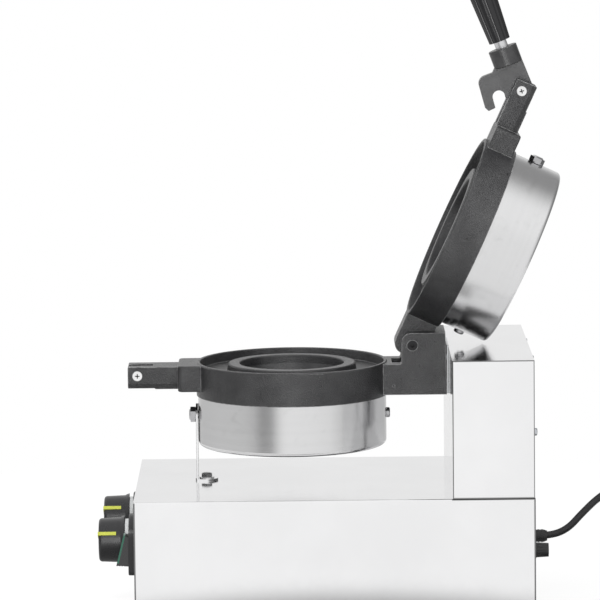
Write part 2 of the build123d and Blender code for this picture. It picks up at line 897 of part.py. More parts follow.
def handle_axis(distance):
    """A point on the handle's centre line, that far in front of the pin."""
    slope = radians(handle_drop)
    return (0, -distance * cos(slope), -collar_offset - (distance - collar_start) * sin(slope))


def hook_lever():
    half = hook_thick / 2
    notch_bottom = 2 * pin_offset + lid_gap + latch_pin_radius + hook_play
    notch_top = notch_bottom - notch_width
    notch_middle = notch_bottom - notch_width / 2
    notch_centre = notch_width / 2 - latch_pin_radius - 1.2
    foot = notch_bottom + 9.5
    hub = 12.2
    outline = [
        (-collar_start, -19.0),
        (-23.4, -22.0),
        (-22.0, -foot),
        (7.2, -foot),
        (11.0, -foot + 2.4),
        (9.8, -notch_bottom),
        (notch_centre, -notch_bottom),
        (notch_centre, -notch_top),
        (4.8, -notch_top),
        (hub * cos(radians(35)), -hub * sin(radians(35))),
        (0, 0),
        (0, hub),
        (-collar_start - 0.8, 9.0),
    ]
    plate = side_plate(outline, -half, half)
    plate += rod(hub, (-half, 0, 0), (half, 0, 0))
    plate -= rod(
        notch_width / 2,
        (-half - 1, notch_centre, -notch_middle),
        (half + 1, notch_centre, -notch_middle),
    )
    shoulder = plate.edges().filter_by(Axis.X).filter_by_position(Axis.Z, -foot - 0.1, -foot + 0.1)
    plate = fillet(shoulder.sort_by(Axis.Y)[0:1], 8.0)
    tip = plate.edges().filter_by(Axis.X).filter_by_position(Axis.Y, 6.9, 11.1)
    plate = fillet(tip.filter_by_position(Axis.Z, -foot - 0.1, -notch_bottom + 0.1), 1.0)
    collar = rod(collar_radius, handle_axis(collar_start), handle_axis(collar_start + collar_length))
    collar = fillet(collar.edges(), 0.8)
    lever = plate + collar
    lever -= rod(latch_pin_radius + running_gap, (-half - 1, 0, 0), (half + 1, 0, 0))
    end = collar_start + collar_length
    lever -= rod(stud_radius - 1.2 + running_gap, handle_axis(end - 12), handle_axis(end + 1))
    return swing_lever(at_pin(lever))


grip_bore = 14.0


def handle_stud():
    """The bright threaded stud between the collar and the grip."""
    end = collar_start + collar_length
    stud = rod(stud_radius - 1.2, handle_axis(end - 11.5), handle_axis(end + stud_gap + grip_bore - 1))
    stud += rod(stud_radius, handle_axis(end), handle_axis(end + stud_gap))
    return swing_lever(at_pin(stud))


def grip_profile():
    """Half of the grip's long section, from its lower end to its rounded top."""
    wide = grip_end_radius
    shoulder = grip_length - 9
    swell = Spline(
        (grip_start_radius, 0, 0), (wide - 1.8, 0, grip_length * 0.4), (wide, 0, grip_length * 0.8)
    )
    corners = [
        (wide, 0, grip_length * 0.8),
        (wide, 0, shoulder),
        (wide - 2.6, 0, grip_length - 2.6),
        (wide - 9, 0, grip_length),
        (0, 0, grip_length),
        (0, 0, 0),
        (grip_start_radius, 0, 0),
    ]
    return make_face([swell, Polyline(*corners)])


def handle_grip():
    """A tapered grip with shallow flutes, wider at its free end."""
    end = collar_start + collar_length + stud_gap
    start = Vector(*handle_axis(end))
    along = Vector(*handle_axis(end + 1)) - start
    place = Plane(origin=start, x_dir=(1, 0, 0), z_dir=along)
    grip = revolve(grip_profile(), Axis.Z, 360)
    for index in range(grip_flutes):
        angle = 2 * pi * index / grip_flutes
        near_reach = grip_start_radius + 2.3
        far_reach = grip_end_radius + 1.9
        near = (near_reach * cos(angle), near_reach * sin(angle), -2)
        far = (far_reach * cos(angle), far_reach * sin(angle), grip_length * 0.62)
        grip -= rod(3.0, near, far)
    grip -= rod(stud_radius - 1.2 + running_gap, (0, 0, -1), (0, 0, grip_bore))
    return swing_lever(at_pin(place * grip))


# controls


def knob_centre(x):
    return x, deck - knob_drop


bezel_face = front_y - bezel_thick
scale_face = bezel_face - scale_thick
knob_back = scale_face - 0.4
knob_front = knob_back - knob_length


def bezel(x):
    """The dark ring against the panel."""
    x, z = knob_centre(x)
    ring = rod(bezel_radius, (x, front_y, z), (x, bezel_face, z))
    ring = fillet(ring.edges().group_by(Axis.Y)[0], 1.5)
    return ring - rod(bush_radius + hole_gap, (x, front_y + 1, z), (x, bezel_face - 1, z))


def scale_ring(x):
    """The light ring between the bezel and the knob."""
    x, z = knob_centre(x)
    ring = rod(scale_radius, (x, bezel_face, z), (x, scale_face, z))
    ring = fillet(ring.edges().group_by(Axis.Y)[0], 0.8)
    return ring - rod(bush_radius + hole_gap, (x, bezel_face + 1, z), (x, scale_face - 1, z))


def knob(x, angle):
    """A round knob with a flared skirt, a hub and a blind bore."""
    x, z = knob_centre(x)
    body = cone(knob_radius, knob_radius - 0.9, (x, knob_back - 3.5, z), (x, knob_front, z))
    body = fillet(body.edges().group_by(Axis.Y)[0], 3.0)
    skirt = cone(knob_skirt, knob_radius + 0.4, (x, knob_back, z), (x, knob_back - 3.5, z))
    body = body + skirt
    body -= rod(9.5, (x, knob_back + 1, z), (x, knob_back - 6, z))
    body += rod(7.5, (x, knob_back - 0.4, z), (x, knob_back - 7, z))
    body -= rod(shaft_radius + 0.02, (x, knob_back + 1, z), (x, knob_back - 15, z))
    return body - pointer_bar(x, angle, 0.0)


def pointer_bar(x, angle, clearance):
    """The bar that fills the groove along the knob's side and over its front edge."""
    x, z = knob_centre(x)
    half = pointer_width / 2 + clearance
    rim = x + knob_radius
    front = knob_front - 0.5
    side = block(rim - 3.0, rim + 0.6, front, knob_front + pointer_length, z - half, z + half)
    face = block(rim - 12.0, rim - 3.0, front, knob_front + 1.5, z - half, z + half)
    return (side + face).rotate(Axis((x, 0, z), (0, 1, 0)), -angle)


def pointer(x, angle):
    return pointer_bar(x, angle, -0.05)


def shaft(x):
    x, z = knob_centre(x)
    return rod(shaft_radius, (x, knob_back - 14.5, z), (x, front_y + 12, z))


def control_body(x, half, depth):
    """A switch body behind the panel, with its threaded bush through the panel."""
    x, z = knob_centre(x)
    start = front_y + sheet
    body = block(x - half, x + half, start, start + depth, z - half, z + half)
    body = fillet(body.edges().filter_by(Axis.Y), 3.0)
    body += rod(bush_radius, (x, start, z), (x, scale_face - 0.1, z))
    for offset in (-8, 0, 8):
        body += block(x + offset - 3, x + offset + 3, start + depth, start + depth + 8, z - 10.4, z - 9.6)
    return body - rod(shaft_radius + running_gap, (x, scale_face - 1, z), (x, front_y + 13, z))


def thermostat_body():
    return control_body(knob_x, 18.0, 30.0)


def timer_body():
    return control_body(-knob_x, 24.0, 34.0)


switch_z = deck - switch_drop
rocker_pivot_y = front_y - 1.0
housing_half_x = rocker_width / 2 + 2.4
housing_half_z = rocker_half + 0.7


def switch_housing():
    """The rocker switch's bezel and hollow body, clipped into the panel."""
    rim = front_y - switch_rim
    x0 = switch_x
    body = block(
        x0 - housing_half_x,
        x0 + housing_half_x,
        front_y,
        front_y + 26,
        switch_z - housing_half_z,
        switch_z + housing_half_z,
    )
    flange = block(
        x0 - switch_width / 2,
        x0 + switch_width / 2,
        rim,
        front_y,
        switch_z - switch_tall / 2,
        switch_z + switch_tall / 2,
    )
    flange = fillet(flange.edges().filter_by(Axis.Y), 4.0)
    flange = fillet(flange.edges().group_by(Axis.Y)[0], 1.4)
    body += flange
    side = rocker_width / 2 + 0.4
    mouth = rocker_half + 1.2
    body -= block(
        x0 - side, x0 + side, rim - 1, front_y + 12, switch_z - mouth + 1.8, switch_z + mouth - 1.8
    )
    body -= block(x0 - side, x0 + side, rim - 1, rim + 5.6, switch_z - mouth, switch_z + mouth)
    body -= rod(
        1.5 + running_gap,
        (x0 - side - 1.6, rocker_pivot_y, switch_z),
        (x0 + side + 1.6, rocker_pivot_y, switch_z),
    )
    for offset in (-7, 7):
        body += block(
            x0 + offset - 0.4,
            x0 + offset + 0.4,
            front_y + 26,
            front_y + 34,
            switch_z - 3,
            switch_z + 3,
        )
    return body


def switch_rocker():
    """The green rocker, pressed in at its top, with a ridged lower end."""
    half = rocker_width / 2
    front = -rocker_front
    outline = [(front, rocker_half), (front, -rocker_half), (0, -12.4), (6, -8), (6, 8), (0, 12.4)]
    rocker = side_plate(outline, -half, half)
    rocker -= block(-half + 3, half - 3, front - 1, front + 0.6, -rocker_half + 2.5, rocker_half - 2.5)
    for index in range(3):
        y = front + 2.0 + index * 2.4
        z = -rocker_half + 0.2 * (y - front) - 0.3
        rocker -= rod(0.6, (-half - 1, y, z), (half + 1, y, z))
    rocker += rod(1.5, (-half - 1.5, 0, 0), (half + 1.5, 0, 0))
    rocker = rocker.rotate(Axis.X, -rocker_tilt)
    return rocker.moved(Location((switch_x, rocker_pivot_y, switch_z)))


def terminal_block():
    """A six-way block on the bottom plate."""
    low = shell_bottom
    body = block(-36, 36, 60, 82, low, low + 20)
    for index in range(6):
        x = -30 + index * 12
        body -= rod(2.2, (x, 59, low + 8), (x, 83, low + 8))
        body -= rod(2.0, (x, 66, low + 12), (x, 66, low + 21))
        body -= rod(2.0, (x, 76, low + 12), (x, 76, low + 21))
    return body


# rear fittings and cord

relief_z = deck - relief_drop
relief_tip = rear_y + relief_reach
cord_start = relief_tip - cord_seat - 5.6


def strain_relief():
    """A ribbed bushing through the rear panel, with a tapered mouth for the cord."""
    body = rod(relief_radius - 0.3, (0, rear_y - 12, relief_z), (0, relief_tip - 3, relief_z))
    body += rod(relief_radius + 1.6, (0, rear_y, relief_z), (0, rear_y + 3, relief_z))
    body += cone(
        relief_radius - 0.3,
        relief_radius - 1.4,
        (0, relief_tip - 3, relief_z),
        (0, relief_tip, relief_z),
    )
    for index in range(3):
        y = rear_y + 5 + index * 3.4
        body += rod(relief_radius, (0, y, relief_z), (0, y + 1.8, relief_z))
    body += rod(relief_radius + 1.6, (0, rear_y - sheet - 2.4, relief_z), (0, rear_y - sheet, relief_z))
    mouth = cone(
        cord_radius + 0.1,
        cord_radius + 0.7,
        (0, cord_start, relief_z),
        (0, relief_tip + 0.01, relief_z),
    )
    return body - mouth


def fuse_holder():
    """A panel fuse holder with a ridged cap outside and a nut inside."""
    x = fuse_x
    z = relief_z
    cap = rod(fuse_radius, (x, rear_y, z), (x, rear_y + 3, z))
    cap += cone(fuse_radius - 0.8, fuse_radius - 1.4, (x, rear_y + 3, z), (x, rear_y + fuse_reach, z))
    for index in range(12):
        angle = 2 * pi * index / 12
        r = fuse_radius - 0.5
        dx = r * cos(angle)
        dz = r * sin(angle)
        cap -= rod(0.8, (x + dx, rear_y + 3.6, z + dz), (x + dx, rear_y + fuse_reach + 1, z + dz))
    body = rod(fuse_radius - 2, (x, rear_y - 24, z), (x, rear_y, z))
    nut = rod(fuse_radius + 1, (x, rear_y - sheet - 3, z), (x, rear_y - sheet, z))
    slot = block(x - 4, x + 4, rear_y + fuse_reach - 1, rear_y + fuse_reach + 1, z - 0.6, z + 0.6)
    return cap + body + nut - slot


cord_lift = 0.8
floor_z = cord_radius + cord_lift
coil_x = 94.0
coil_y = 251.0
coil_radius = 51.4
coil_pitch = 7.7
turns_in = 2.5
turns_out = 2.0
loop_radius = 72.7
loop_y = 292.0
loop_heights = (123.5, 128.5, 127.0, 119.0, 104.0, 84.5, 62.5, 40.5, 21.0)
tie_width = 8.0
tie_thick = 0.6
plug_z = 18.6
plug_x = 42.0
plug_y = 322.0
plug_radius = 18.0
plug_length = 34.0
plug_tail = 24.0
plug_pin_radius = 2.4
plug_pin_length = 19.0
plug_pin_offset = 9.5


def cord_points():
    """The cord from the strain relief, up and round in a loop, down to the coil."""
    points = [
        (0, cord_start, relief_z),
        (0, 211.5, relief_z),
        (0, 228, relief_z + 6.5),
        (0, 242, relief_z + 22),
        (0, 257.5, relief_z + 37),
        (0, 274, relief_z + 47),
    ]
    step = 180 / len(loop_heights)
    for index, height in enumerate(loop_heights):
        angle = radians(step * index)
        x = loop_radius * (1 - cos(angle))
        y = loop_y + loop_radius * sin(angle)
        points.append((x, y, height))
    start = coil_place(0)
    points.append((start.X, loop_y - 2, floor_z + 3.5))
    points.append((start.X, loop_y - 20, floor_z))
    points.append((start.X, start.Y + 2 * cord_radius, floor_z))
    return points


def tail_points():
    """The cord from the coil's outer end to the plug."""
    end = coil_place(turns_in + turns_out)
    start_y = end.Y + 2 * cord_radius
    return [
        (end.X, start_y, end.Z),
        (end.X, start_y + 15, end.Z),
        (end.X - 1.2, start_y + 35, (end.Z + plug_z) / 2),
        (plug_x, start_y + 54, plug_z),
        (plug_x, plug_y + cord_seat, plug_z),
    ]


def bend_radii(points):
    """Each corner's radius, from its shorter run and its turn."""
    radii = []
    for before, here, after in zip(points, points[1:], points[2:]):
        first = Vector(*here) - Vector(*before)
        second = Vector(*after) - Vector(*here)
        half_turn = radians(first.get_angle(second) / 2)
        radii.append(0.45 * min(first.length, second.length) / tan(half_turn))
    return radii


def tube(path, start, direction):
    """A round tube along a path."""
    return sweep(Plane(origin=start, z_dir=direction) * Circle(cord_radius), path=path)


def routed_cord(name, points):
    radii = bend_radii(points)
    path = FilletPolyline(*points, radius=radii)
    cord = tube(path, points[0], Vector(*points[1]) - Vector(*points[0]))
    expected = pi * cord_radius**2 * path.length
    print(name, "radii", [round(radius) for radius in radii])
    print(name, "length", round(path.length), "volume ratio", round(cord.volume / expected, 4))
    return cord


def coil_place(turn):
    """A point of the coil's centre line, by turns from its outer start."""
    inward = turn if turn <= turns_in else 2 * turns_in - turn
    reach = coil_radius - coil_pitch * inward
    angle = -2 * pi * turn
    climb = min(max((turn - turns_in + 0.25) / 0.5, 0), 1)
    lift = climb * climb * (3 - 2 * climb)
    height = floor_z + (2 * cord_radius + 0.7) * lift
    return Vector(coil_x + reach * cos(angle), coil_y + reach * sin(angle), height)


def coil_direction(turn):
    """The coil's heading at a point; straight along Y at both ends."""
    if turn == 0:
        return Vector(0, -1, 0)
    if turn == turns_in + turns_out:
        return Vector(0, 1, 0)
    return (coil_place(turn + 0.01) - coil_place(turn - 0.01)).normalized()


def biarc(start, start_heading, end, end_heading):
    """Two tangent arcs that join two points with given headings."""
    chord = end - start
    headings = start_heading + end_heading
    spread = 2 * (1 - start_heading.dot(end_heading))
    along = chord.dot(headings)
    reach = (sqrt(along * along + spread * chord.dot(chord)) - along) / spread
    middle = (start + start_heading * reach + end - end_heading * reach) / 2
    first = TangentArc([start, middle], tangent=start_heading)
    second = TangentArc([middle, end], tangent=first % 1)
    return [first, second]


def coil_path():
    total = turns_in + turns_out
    steps = round(total * 4)
    turns = [total * index / steps for index in range(steps + 1)]
    lead = coil_direction(0) * (-2 * cord_radius)
    first = coil_place(0)
    last = coil_place(total)
    edges = [Line(first + lead, first)]
    for turn, following in zip(turns, turns[1:]):
        edges += biarc(
            coil_place(turn), coil_direction(turn), coil_place(following), coil_direction(following)
        )
    edges.append(Line(last, last + coil_direction(total) * 2 * cord_radius))
    return Wire(edges)


def self_gap(path):
    """The least space between parts of a cord that are more than four diameters apart along it."""
    count = int(path.length / 2)
    places = [path @ (index / count) for index in range(count + 1)]
    apart = int(8 * cord_radius / 2) + 1
    least = path.length
    for index, place in enumerate(places):
        for other in places[index + apart:]:
            distance = (place - other).length
            least = min(least, distance)
    return least - 2 * cord_radius


def cord_coil():
    path = coil_path()
    coil = tube(path, path @ 0, path % 0)
    expected = pi * cord_radius**2 * path.length
    print("cord_coil length", round(path.length), "volume ratio", round(coil.volume / expected, 4))
    print("cord_coil self gap", round(self_gap(path), 2))
    return coil


def cord_tie():
    """A flat band round the coil's side that faces the base."""
    inner_near = coil_radius - coil_pitch * 2.25 - cord_radius - 0.6
    inner_far = coil_radius - coil_pitch * 0.25 + cord_radius + 0.6
    top = floor_z + 3 * cord_radius + 0.7 + 0.5
    bottom = cord_lift - 0.1
    half = tie_width / 2
    inner = block(coil_x - half - 1, coil_x + half + 1, coil_y - inner_far, coil_y - inner_near, bottom, top)
    inner = fillet(inner.edges().filter_by(Axis.X), 1.0)
    outer = block(
        coil_x - half,
        coil_x + half,
        coil_y - inner_far - tie_thick,
        coil_y - inner_near + tie_thick,
        bottom - tie_thick,
        top + tie_thick,
    )
    outer = fillet(outer.edges().filter_by(Axis.X), 1.0 + tie_thick)
    return outer - inner


def plug_body():
    """A round moulded plug that lies on its side, with a tapered tail for the cord."""
    neck_end = plug_y + plug_tail
    face = neck_end + plug_length
    body = rod(plug_radius, (plug_x, neck_end, plug_z), (plug_x, face, plug_z))
    body = fillet(body.edges(), 2.5)
    tail = cone(5.2, 8.5, (plug_x, plug_y, plug_z), (plug_x, neck_end + 2, plug_z))
    body += tail
    for side in (-1, 1):
        x = plug_x + side * plug_radius
        body -= block(x - 1.6, x + 1.6, neck_end + 5, face - 5, plug_z - 9, plug_z + 9)
    body -= cone(
        cord_radius + 0.5,
        cord_radius + 0.1,
        (plug_x, plug_y - 0.01, plug_z),
        (plug_x, plug_y + cord_seat, plug_z),
    )
    for x in plug_pin_places():
        body -= rod(plug_pin_radius + 0.3, (x, face - 12, plug_z), (x, face + 1, plug_z))
    return body


def plug_pin_places():
    return [plug_x - plug_pin_offset, plug_x + plug_pin_offset]


def plug_pins():
    face = plug_y + plug_tail + plug_length
    pins = []
    for x in plug_pin_places():
        pin = rod(plug_pin_radius, (x, face, plug_z), (x, face + plug_pin_length, plug_z))
        pin = fillet(pin.edges().group_by(Axis.Y)[-1], 1.2)
        pins.append(pin + rod(plug_pin_radius + 0.25, (x, face - 12, plug_z), (x, face, plug_z)))
    return pieces(pins)


NODES = {
    "base_shell": base_shell,
    "front_panel": front_panel,
    "rear_panel": rear_panel,
    "bottom_plate": bottom_plate,
    "rubber_feet": rubber_feet,
    "foot_screws": foot_screws,
    "foot_nuts": foot_nuts,
    "plate_screws": plate_screws,
    "tower_shell": tower_shell,
    "tower_rear_cover": tower_rear_cover,
    "tower_cover_screws": tower_cover_screws,
    "tower_bolts": tower_bolts,
    "hinge_bracket": hinge_bracket,
    "bracket_bolts": bracket_bolts,
    "hinge_spacer": hinge_spacer,
    "hinge_bolts": hinge_bolts,
    "hinge_pin": hinge_pin,
    "lower_mould": lower_mould,
    "lower_heating_element": heating_element,
    "lower_insulation": lambda: insulation(lower_half),
    "lower_heater_can": lambda: heater_can(lower_half),
    "lower_front_screw": lambda: front_can_screw(lower_half, strap_front),
    "lower_rear_screw": lambda: rear_can_screw(lower_half),
    "lower_sensor_bulb": sensor_bulb,
    "support_strap": support_strap,
    "support_bolt": support_bolt,
    "lower_latch_pin": lower_latch_pin,
    "upper_mould": upper_mould,
    "upper_heating_element": lambda: open_lid(flip_up(heating_element())),
    "upper_insulation": lambda: open_lid(flip_up(insulation(upper_half))),
    "upper_heater_can": lambda: open_lid(flip_up(heater_can(upper_half))),
    "upper_front_screw": lambda: open_lid(flip_up(front_can_screw(upper_half, upper_can_front - 0.1))),
    "upper_rear_screw": lambda: open_lid(flip_up(rear_can_screw(upper_half))),
    "upper_latch_pin": upper_latch_pin,
    "hook_lever": hook_lever,
    "handle_stud": handle_stud,
    "handle_grip": handle_grip,
    "thermostat_body": thermostat_body,
    "thermostat_shaft": lambda: shaft(knob_x),
    "thermostat_bezel": lambda: bezel(knob_x),
    "thermostat_scale_ring": lambda: scale_ring(knob_x),
    "thermostat_knob": lambda: knob(knob_x, thermostat_angle),
    "thermostat_pointer": lambda: pointer(knob_x, thermostat_angle),
    "timer_body": timer_body,
    "timer_shaft": lambda: shaft(-knob_x),
    "timer_bezel": lambda: bezel(-knob_x),
    "timer_scale_ring": lambda: scale_ring(-knob_x),
    "timer_knob": lambda: knob(-knob_x, timer_angle),
    "timer_pointer": lambda: pointer(-knob_x, timer_angle),
    "switch_housing": switch_housing,
    "switch_rocker": switch_rocker,
    "terminal_block": terminal_block,
    "strain_relief": strain_relief,
    "fuse_holder": fuse_holder,
    "power_cord": lambda: routed_cord("power_cord", cord_points()),
    "cord_coil": cord_coil,
    "cord_tie": cord_tie,
    "cord_tail": lambda: routed_cord("cord_tail", tail_points()),
    "plug_body": plug_body,
    "plug_pins": plug_pins,
}

os.makedirs("parts", exist_ok=True)
for node, make in NODES.items():
    export_step(make(), f"parts/{node}.step")
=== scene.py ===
"""Finishes, cord, studio and camera for a countertop press for round buns.

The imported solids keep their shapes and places. This script lays the power cord, wraps its tie,
gives every part its finish, and lights the press in a plain pale studio.
"""

import json
from math import cos, pi, radians, sin

import bmesh
import bpy
from mathutils import Matrix, Vector


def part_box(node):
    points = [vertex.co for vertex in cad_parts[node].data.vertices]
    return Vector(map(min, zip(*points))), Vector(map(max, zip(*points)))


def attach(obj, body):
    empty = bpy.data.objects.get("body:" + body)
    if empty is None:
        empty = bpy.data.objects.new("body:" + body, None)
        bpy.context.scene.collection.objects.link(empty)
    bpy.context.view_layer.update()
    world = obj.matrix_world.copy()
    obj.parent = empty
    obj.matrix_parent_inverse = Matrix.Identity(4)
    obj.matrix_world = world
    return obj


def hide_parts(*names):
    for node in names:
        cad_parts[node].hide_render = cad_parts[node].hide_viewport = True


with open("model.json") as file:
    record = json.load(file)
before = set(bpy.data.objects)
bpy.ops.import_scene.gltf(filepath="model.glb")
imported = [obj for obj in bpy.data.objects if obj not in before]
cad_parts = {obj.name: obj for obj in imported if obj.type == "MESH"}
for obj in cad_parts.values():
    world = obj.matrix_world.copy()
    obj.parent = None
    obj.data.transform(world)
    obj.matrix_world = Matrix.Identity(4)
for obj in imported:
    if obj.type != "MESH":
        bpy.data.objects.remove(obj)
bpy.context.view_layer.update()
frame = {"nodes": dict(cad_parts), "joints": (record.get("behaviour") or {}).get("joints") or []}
joints = {joint["name"]: joint for joint in frame["joints"]}

MM = 0.001


def add_object(name, data):
    made = bpy.data.objects.new(name, data)
    bpy.context.scene.collection.objects.link(made)
    return made


# camera: on the press's right, a little above it; metres, and its lens and sensor in millimetres

CAMERA_PLACE = (4.2349, -0.0300, 0.8475)
CAMERA_LENS = 264.9
CAMERA_SENSOR = 36.0
CAMERA_CLIP = (0.1, 200.0)
CAMERA_YAW = radians(-0.005)
CAMERA_PITCH = radians(7.301)
CAMERA_ROLL = radians(-0.634)


def swing(first, second, angle):
    """Two directions at right angles, turned by the angle in their own plane."""
    return first * cos(angle) + second * sin(angle), second * cos(angle) - first * sin(angle)


def place_camera():
    forward, right, up = Vector((-1, 0, 0)), Vector((0, 1, 0)), Vector((0, 0, 1))
    forward, right = swing(forward, right, CAMERA_YAW)
    forward, up = swing(forward, up, -CAMERA_PITCH)
    right, up = swing(right, up, CAMERA_ROLL)
    camera = add_object("camera", bpy.data.cameras.new("camera"))
    camera.data.sensor_width = CAMERA_SENSOR
    camera.data.lens = CAMERA_LENS
    camera.data.clip_start, camera.data.clip_end = CAMERA_CLIP
    turn = Matrix((right, up, -forward)).transposed().to_4x4()
    camera.matrix_world = Matrix.Translation(CAMERA_PLACE) @ turn
    bpy.context.scene.camera = camera


place_camera()

# power cord: out of the rear, over a loop, into a flat coil, then to the plug; millimetres

CORD_RADIUS = 3.5
CORD_RISE = [
    (0, 196, 71),
    (0, 211.5, 71),
    (0, 228, 77.5),
    (0, 242, 93),
    (0, 257.5, 108),
    (0, 274, 118),
]
LOOP_RADIUS = 72.7
LOOP_Y = 292.0
LOOP_STEP = 20
LOOP_HEIGHTS = (123.5, 128.5, 127, 119, 104, 84.5, 62.5, 40.5, 21)
CORD_LANDING = [(145.4, 290, 7.8), (145.4, 272, 4.3), (145.4, 258, 4.3)]
COIL_X = 94.0
COIL_Y = 251.0
COIL_RADIUS = 51.4
COIL_PITCH = 7.7
TURNS_IN = 2.5
TURNS_OUT = 2.0
CLIMB_TURNS = 0.5
POINTS_PER_TURN = 16
FLOOR_Z = 4.3
CORD_TAIL = [(46.45, 258, 12), (46.45, 273, 12), (45.25, 293, 15.3), (42, 312, 18.6), (42, 328, 18.6)]


def coil_point(turn):
    """A point of the coil's line: inwards on the floor, then outwards on the turns below."""
    inward = turn if turn <= TURNS_IN else 2 * TURNS_IN - turn
    reach = COIL_RADIUS - COIL_PITCH * inward
    climb = min(max((turn - TURNS_IN + CLIMB_TURNS / 2) / CLIMB_TURNS, 0), 1)
    lift = climb * climb * (3 - 2 * climb)
    angle = -2 * pi * turn
    height = FLOOR_Z + COIL_PITCH * lift
    return Vector((COIL_X + reach * cos(angle), COIL_Y + reach * sin(angle), height))


def cord_route():
    route = list(CORD_RISE)
    for index, height in enumerate(LOOP_HEIGHTS):
        angle = radians(LOOP_STEP * index)
        route.append((LOOP_RADIUS * (1 - cos(angle)), LOOP_Y + LOOP_RADIUS * sin(angle), height))
    route += CORD_LANDING
    turns = TURNS_IN + TURNS_OUT
    count = round(turns * POINTS_PER_TURN)
    centre = Vector((COIL_X, COIL_Y, 0))
    outside = 1 / cos(pi / POINTS_PER_TURN)
    for index in range(count + 1):
        place = coil_point(turns * index / count)
        if 0 < index < count:
            flat = Vector((place.x, place.y, 0)) - centre
            place = centre + flat * outside + Vector((0, 0, place.z))
        route.append(tuple(place))
    return route + CORD_TAIL


def lay_cord():
    curve = bpy.data.curves.new("power_cord_line", "CURVE")
    curve.dimensions = "3D"
    # a curve's box grows by the radius of its points, so they carry the cord's and the bevel is 1
    curve.bevel_depth = 1.0
    curve.bevel_resolution = 6
    curve.use_fill_caps = True
    curve.resolution_u = 8
    spline = curve.splines.new("NURBS")
    route = cord_route()
    spline.points.add(len(route) - 1)
    for point, place in zip(spline.points, route):
        point.co = (place[0] * MM, place[1] * MM, place[2] * MM, 1)
        point.radius = CORD_RADIUS * MM
    spline.order_u = 3
    spline.use_endpoint_u = True
    cord = add_object("mains_cord", curve)
    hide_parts("power_cord", "cord_coil", "cord_tail")
    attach(cord, "base")
    return cord


cord = lay_cord()

# tie round the coil, where it faces the base; millimetres

TIE_HALF_WIDTH = 4.0
TIE_THICK = 0.6
TIE_GAP = 0.12
TIE_ROUND = 0.16
TIE_STEPS = 24
TIE_PLACE = 0.25
TIE_CROSSINGS = 5


def hull(points):
    """The convex outline of flat points, anticlockwise."""
    ordered = sorted(set(points))

    def side(run):
        chain = []
        for p in run:
            while len(chain) > 1:
                a, b = chain[-2], chain[-1]
                if (b[0] - a[0]) * (p[1] - a[1]) - (b[1] - a[1]) * (p[0] - a[0]) > 0:
                    break
                chain.pop()
            chain.append(p)
        return chain[:-1]

    return side(ordered) + side(ordered[::-1])


def tie_outline():
    """The inside of the tie as (y, z), a gap away from each turn that it holds."""
    reach = CORD_RADIUS + TIE_GAP
    places = []
    for crossing in range(TIE_CROSSINGS):
        here = coil_point(crossing + TIE_PLACE)
        for step in range(TIE_STEPS):
            angle = 2 * pi * step / TIE_STEPS
            places.append((round(here.y + reach * cos(angle), 4), round(here.z + reach * sin(angle), 4)))
    return hull(places)


def wrap_tie():
    """A thin band drawn tight round the turns."""
    mesh = bpy.data.meshes.new("cord_tie_band")
    bm = bmesh.new()
    inner = tie_outline()
    centre = Vector((sum(p[0] for p in inner) / len(inner), sum(p[1] for p in inner) / len(inner)))
    edge = TIE_HALF_WIDTH
    flat = TIE_HALF_WIDTH - TIE_ROUND
    share = TIE_ROUND / TIE_THICK
    profile = [
        (-flat, 0),
        (flat, 0),
        (edge, share),
        (edge, 1 - share),
        (flat, 1),
        (-flat, 1),
        (-edge, 1 - share),
        (-edge, share),
    ]
    rings = []
    for y, z in inner:
        out = (Vector((y, z)) - centre).normalized() * TIE_THICK
        ring = []
        for along, depth in profile:
            place = Vector((COIL_X + along, y + out.x * depth, z + out.y * depth)) * MM
            ring.append(bm.verts.new(place))
        rings.append(ring)
    for first, second in zip(rings, rings[1:] + rings[:1]):
        for index in range(len(first)):
            following = (index + 1) % len(first)
            bm.faces.new((first[index], first[following], second[following], second[index]))
    bmesh.ops.recalc_face_normals(bm, faces=bm.faces)
    bm.to_mesh(mesh)
    bm.free()
    for face in mesh.polygons:
        face.use_smooth = True
    tie = add_object("cord_tie_band", mesh)
    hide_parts("cord_tie")
    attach(tie, "base")
    return tie


tie = wrap_tie()

# shader groups

# the factor and the two colours among a Mix node's inputs, and the colour among its outputs
MIX_INPUTS = (0, 6, 7)
MIX_RESULT = 2


